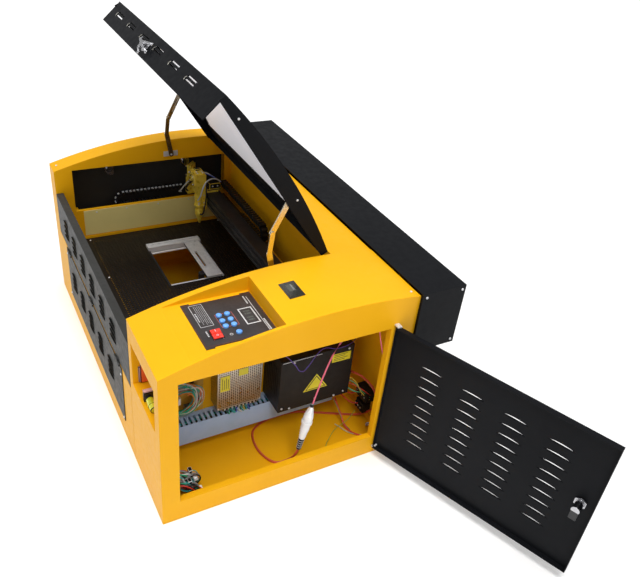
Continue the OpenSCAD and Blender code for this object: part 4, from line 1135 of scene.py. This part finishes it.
def recess_details():
    piece = Piece("recess_fittings", "cabinet", "chain_plastic")
    piece.block((887.4, 5.6, 283.6), (897.6, 26.4, 286), 0.5, PALE_PINK)
    piece.block((896.6, 8, 262), (897.8, 24, 281), 0.4, BLOCK_BROWN)
    # Yellow-green lamp body on the recess floor
    piece.rod((903, 16, 267.5), (938, 16, 267.5), 8.5, None, LIME_LENS, 36, 1.5)
    piece.rod((918, 16, 267.5), (924, 16, 267.5), 9.3, None, LIME_LENS, 36, 0.8)
    # Red cover with a pale strip on the recess's left wall
    piece.block((832, 17, 260), (838, 40, 314), 1.2, RED_ORANGE)
    piece.block((832, 12.5, 262), (836.5, 17, 304), 1.0, LILAC)
    piece.screws([(x, 38, z) for z in (304, 336) for x in (854, 886)], (0, -1, 0), 2.0, STEEL)
    piece.done()


def cover_screws():
    piece = Piece("cover_screws", "cabinet", "plain_steel")
    for x, out in ((1027, 1), (-25, -1)):
        piece.screws([(x, y, z) for z in (325, 468) for y in (612, 712)], (out, 0, 0), 3.2)
    for x, y in ((30, 14), (30, 586), (1000, 586)):
        piece.screw((x, y, arch_z(y) - 0.1), (0, (y - ARCH_Y) / ARCH_R, 1), 3.0)
    for out, r, places in (
        ((0, 1, 0), 3.2, [(x, 722, z) for x in (20, 260, 500, 740, 980) for z in (330, 466)]),
        ((0, 1, 0), 3.2, [(x, 600, 16) for x in (18, 250, 500, 770, 1002)]),
        ((0, -1, 0), 3.0, [(x, -2, z) for x in (158, 732) for z in (68, 206)]),
        ((0, 0, 1), 3.0, [(173.4, 248, 198), (171, 361, 198), (170, 300, 198)]),
        ((1, 0, 0), 2.4, [(61.5, y, 274) for y in (110, 200, 300, 400, 480)]),
        ((0, 0, 1), 2.6, [(x, y, 190) for y in (80, 495) for x in (80, 738)]),
        ((0, 0, 1), 2.6, [(300, 80, 190), (520, 80, 190)]),
    ):
        piece.screws(places, out, r)
    # Pins and screws of the mains inlet
    for x in (896, 904, 912):
        piece.block((x - 1, 584, 89), (x + 1, 600, 95), 0.3, BRASS)
    piece.screws([(x, 603, 92) for x in (880.5, 927.5)], (0, 1, 0), 2.4)
    # Ribs of the water nipples
    for x in (700, 740):
        for k in range(3):
            piece.rod((x, 614 + 5 * k, 250), (x, 617 + 5 * k, 250), 6.5, 5.9, CHAIN, 28, 0.2)
    piece.done()
    door = Piece("door_screws", "door", "plain_steel", place=DOOR_PLACE)
    door.screws([(1032.0, 545, z) for z in (33, 399)], (-1, 0, 0), 2.6)
    door.done()
    vent = Piece("rear_vent_blades", "cabinet", "cabinet_paint")
    for x in (640, 670, 700, 730):
        for z in range(66, 138, 12):
            vent.block((x, 597.2, z), (x + 20, 598.6, z + 4), 0.2)
    vent.done()


recess_details()
cover_screws()
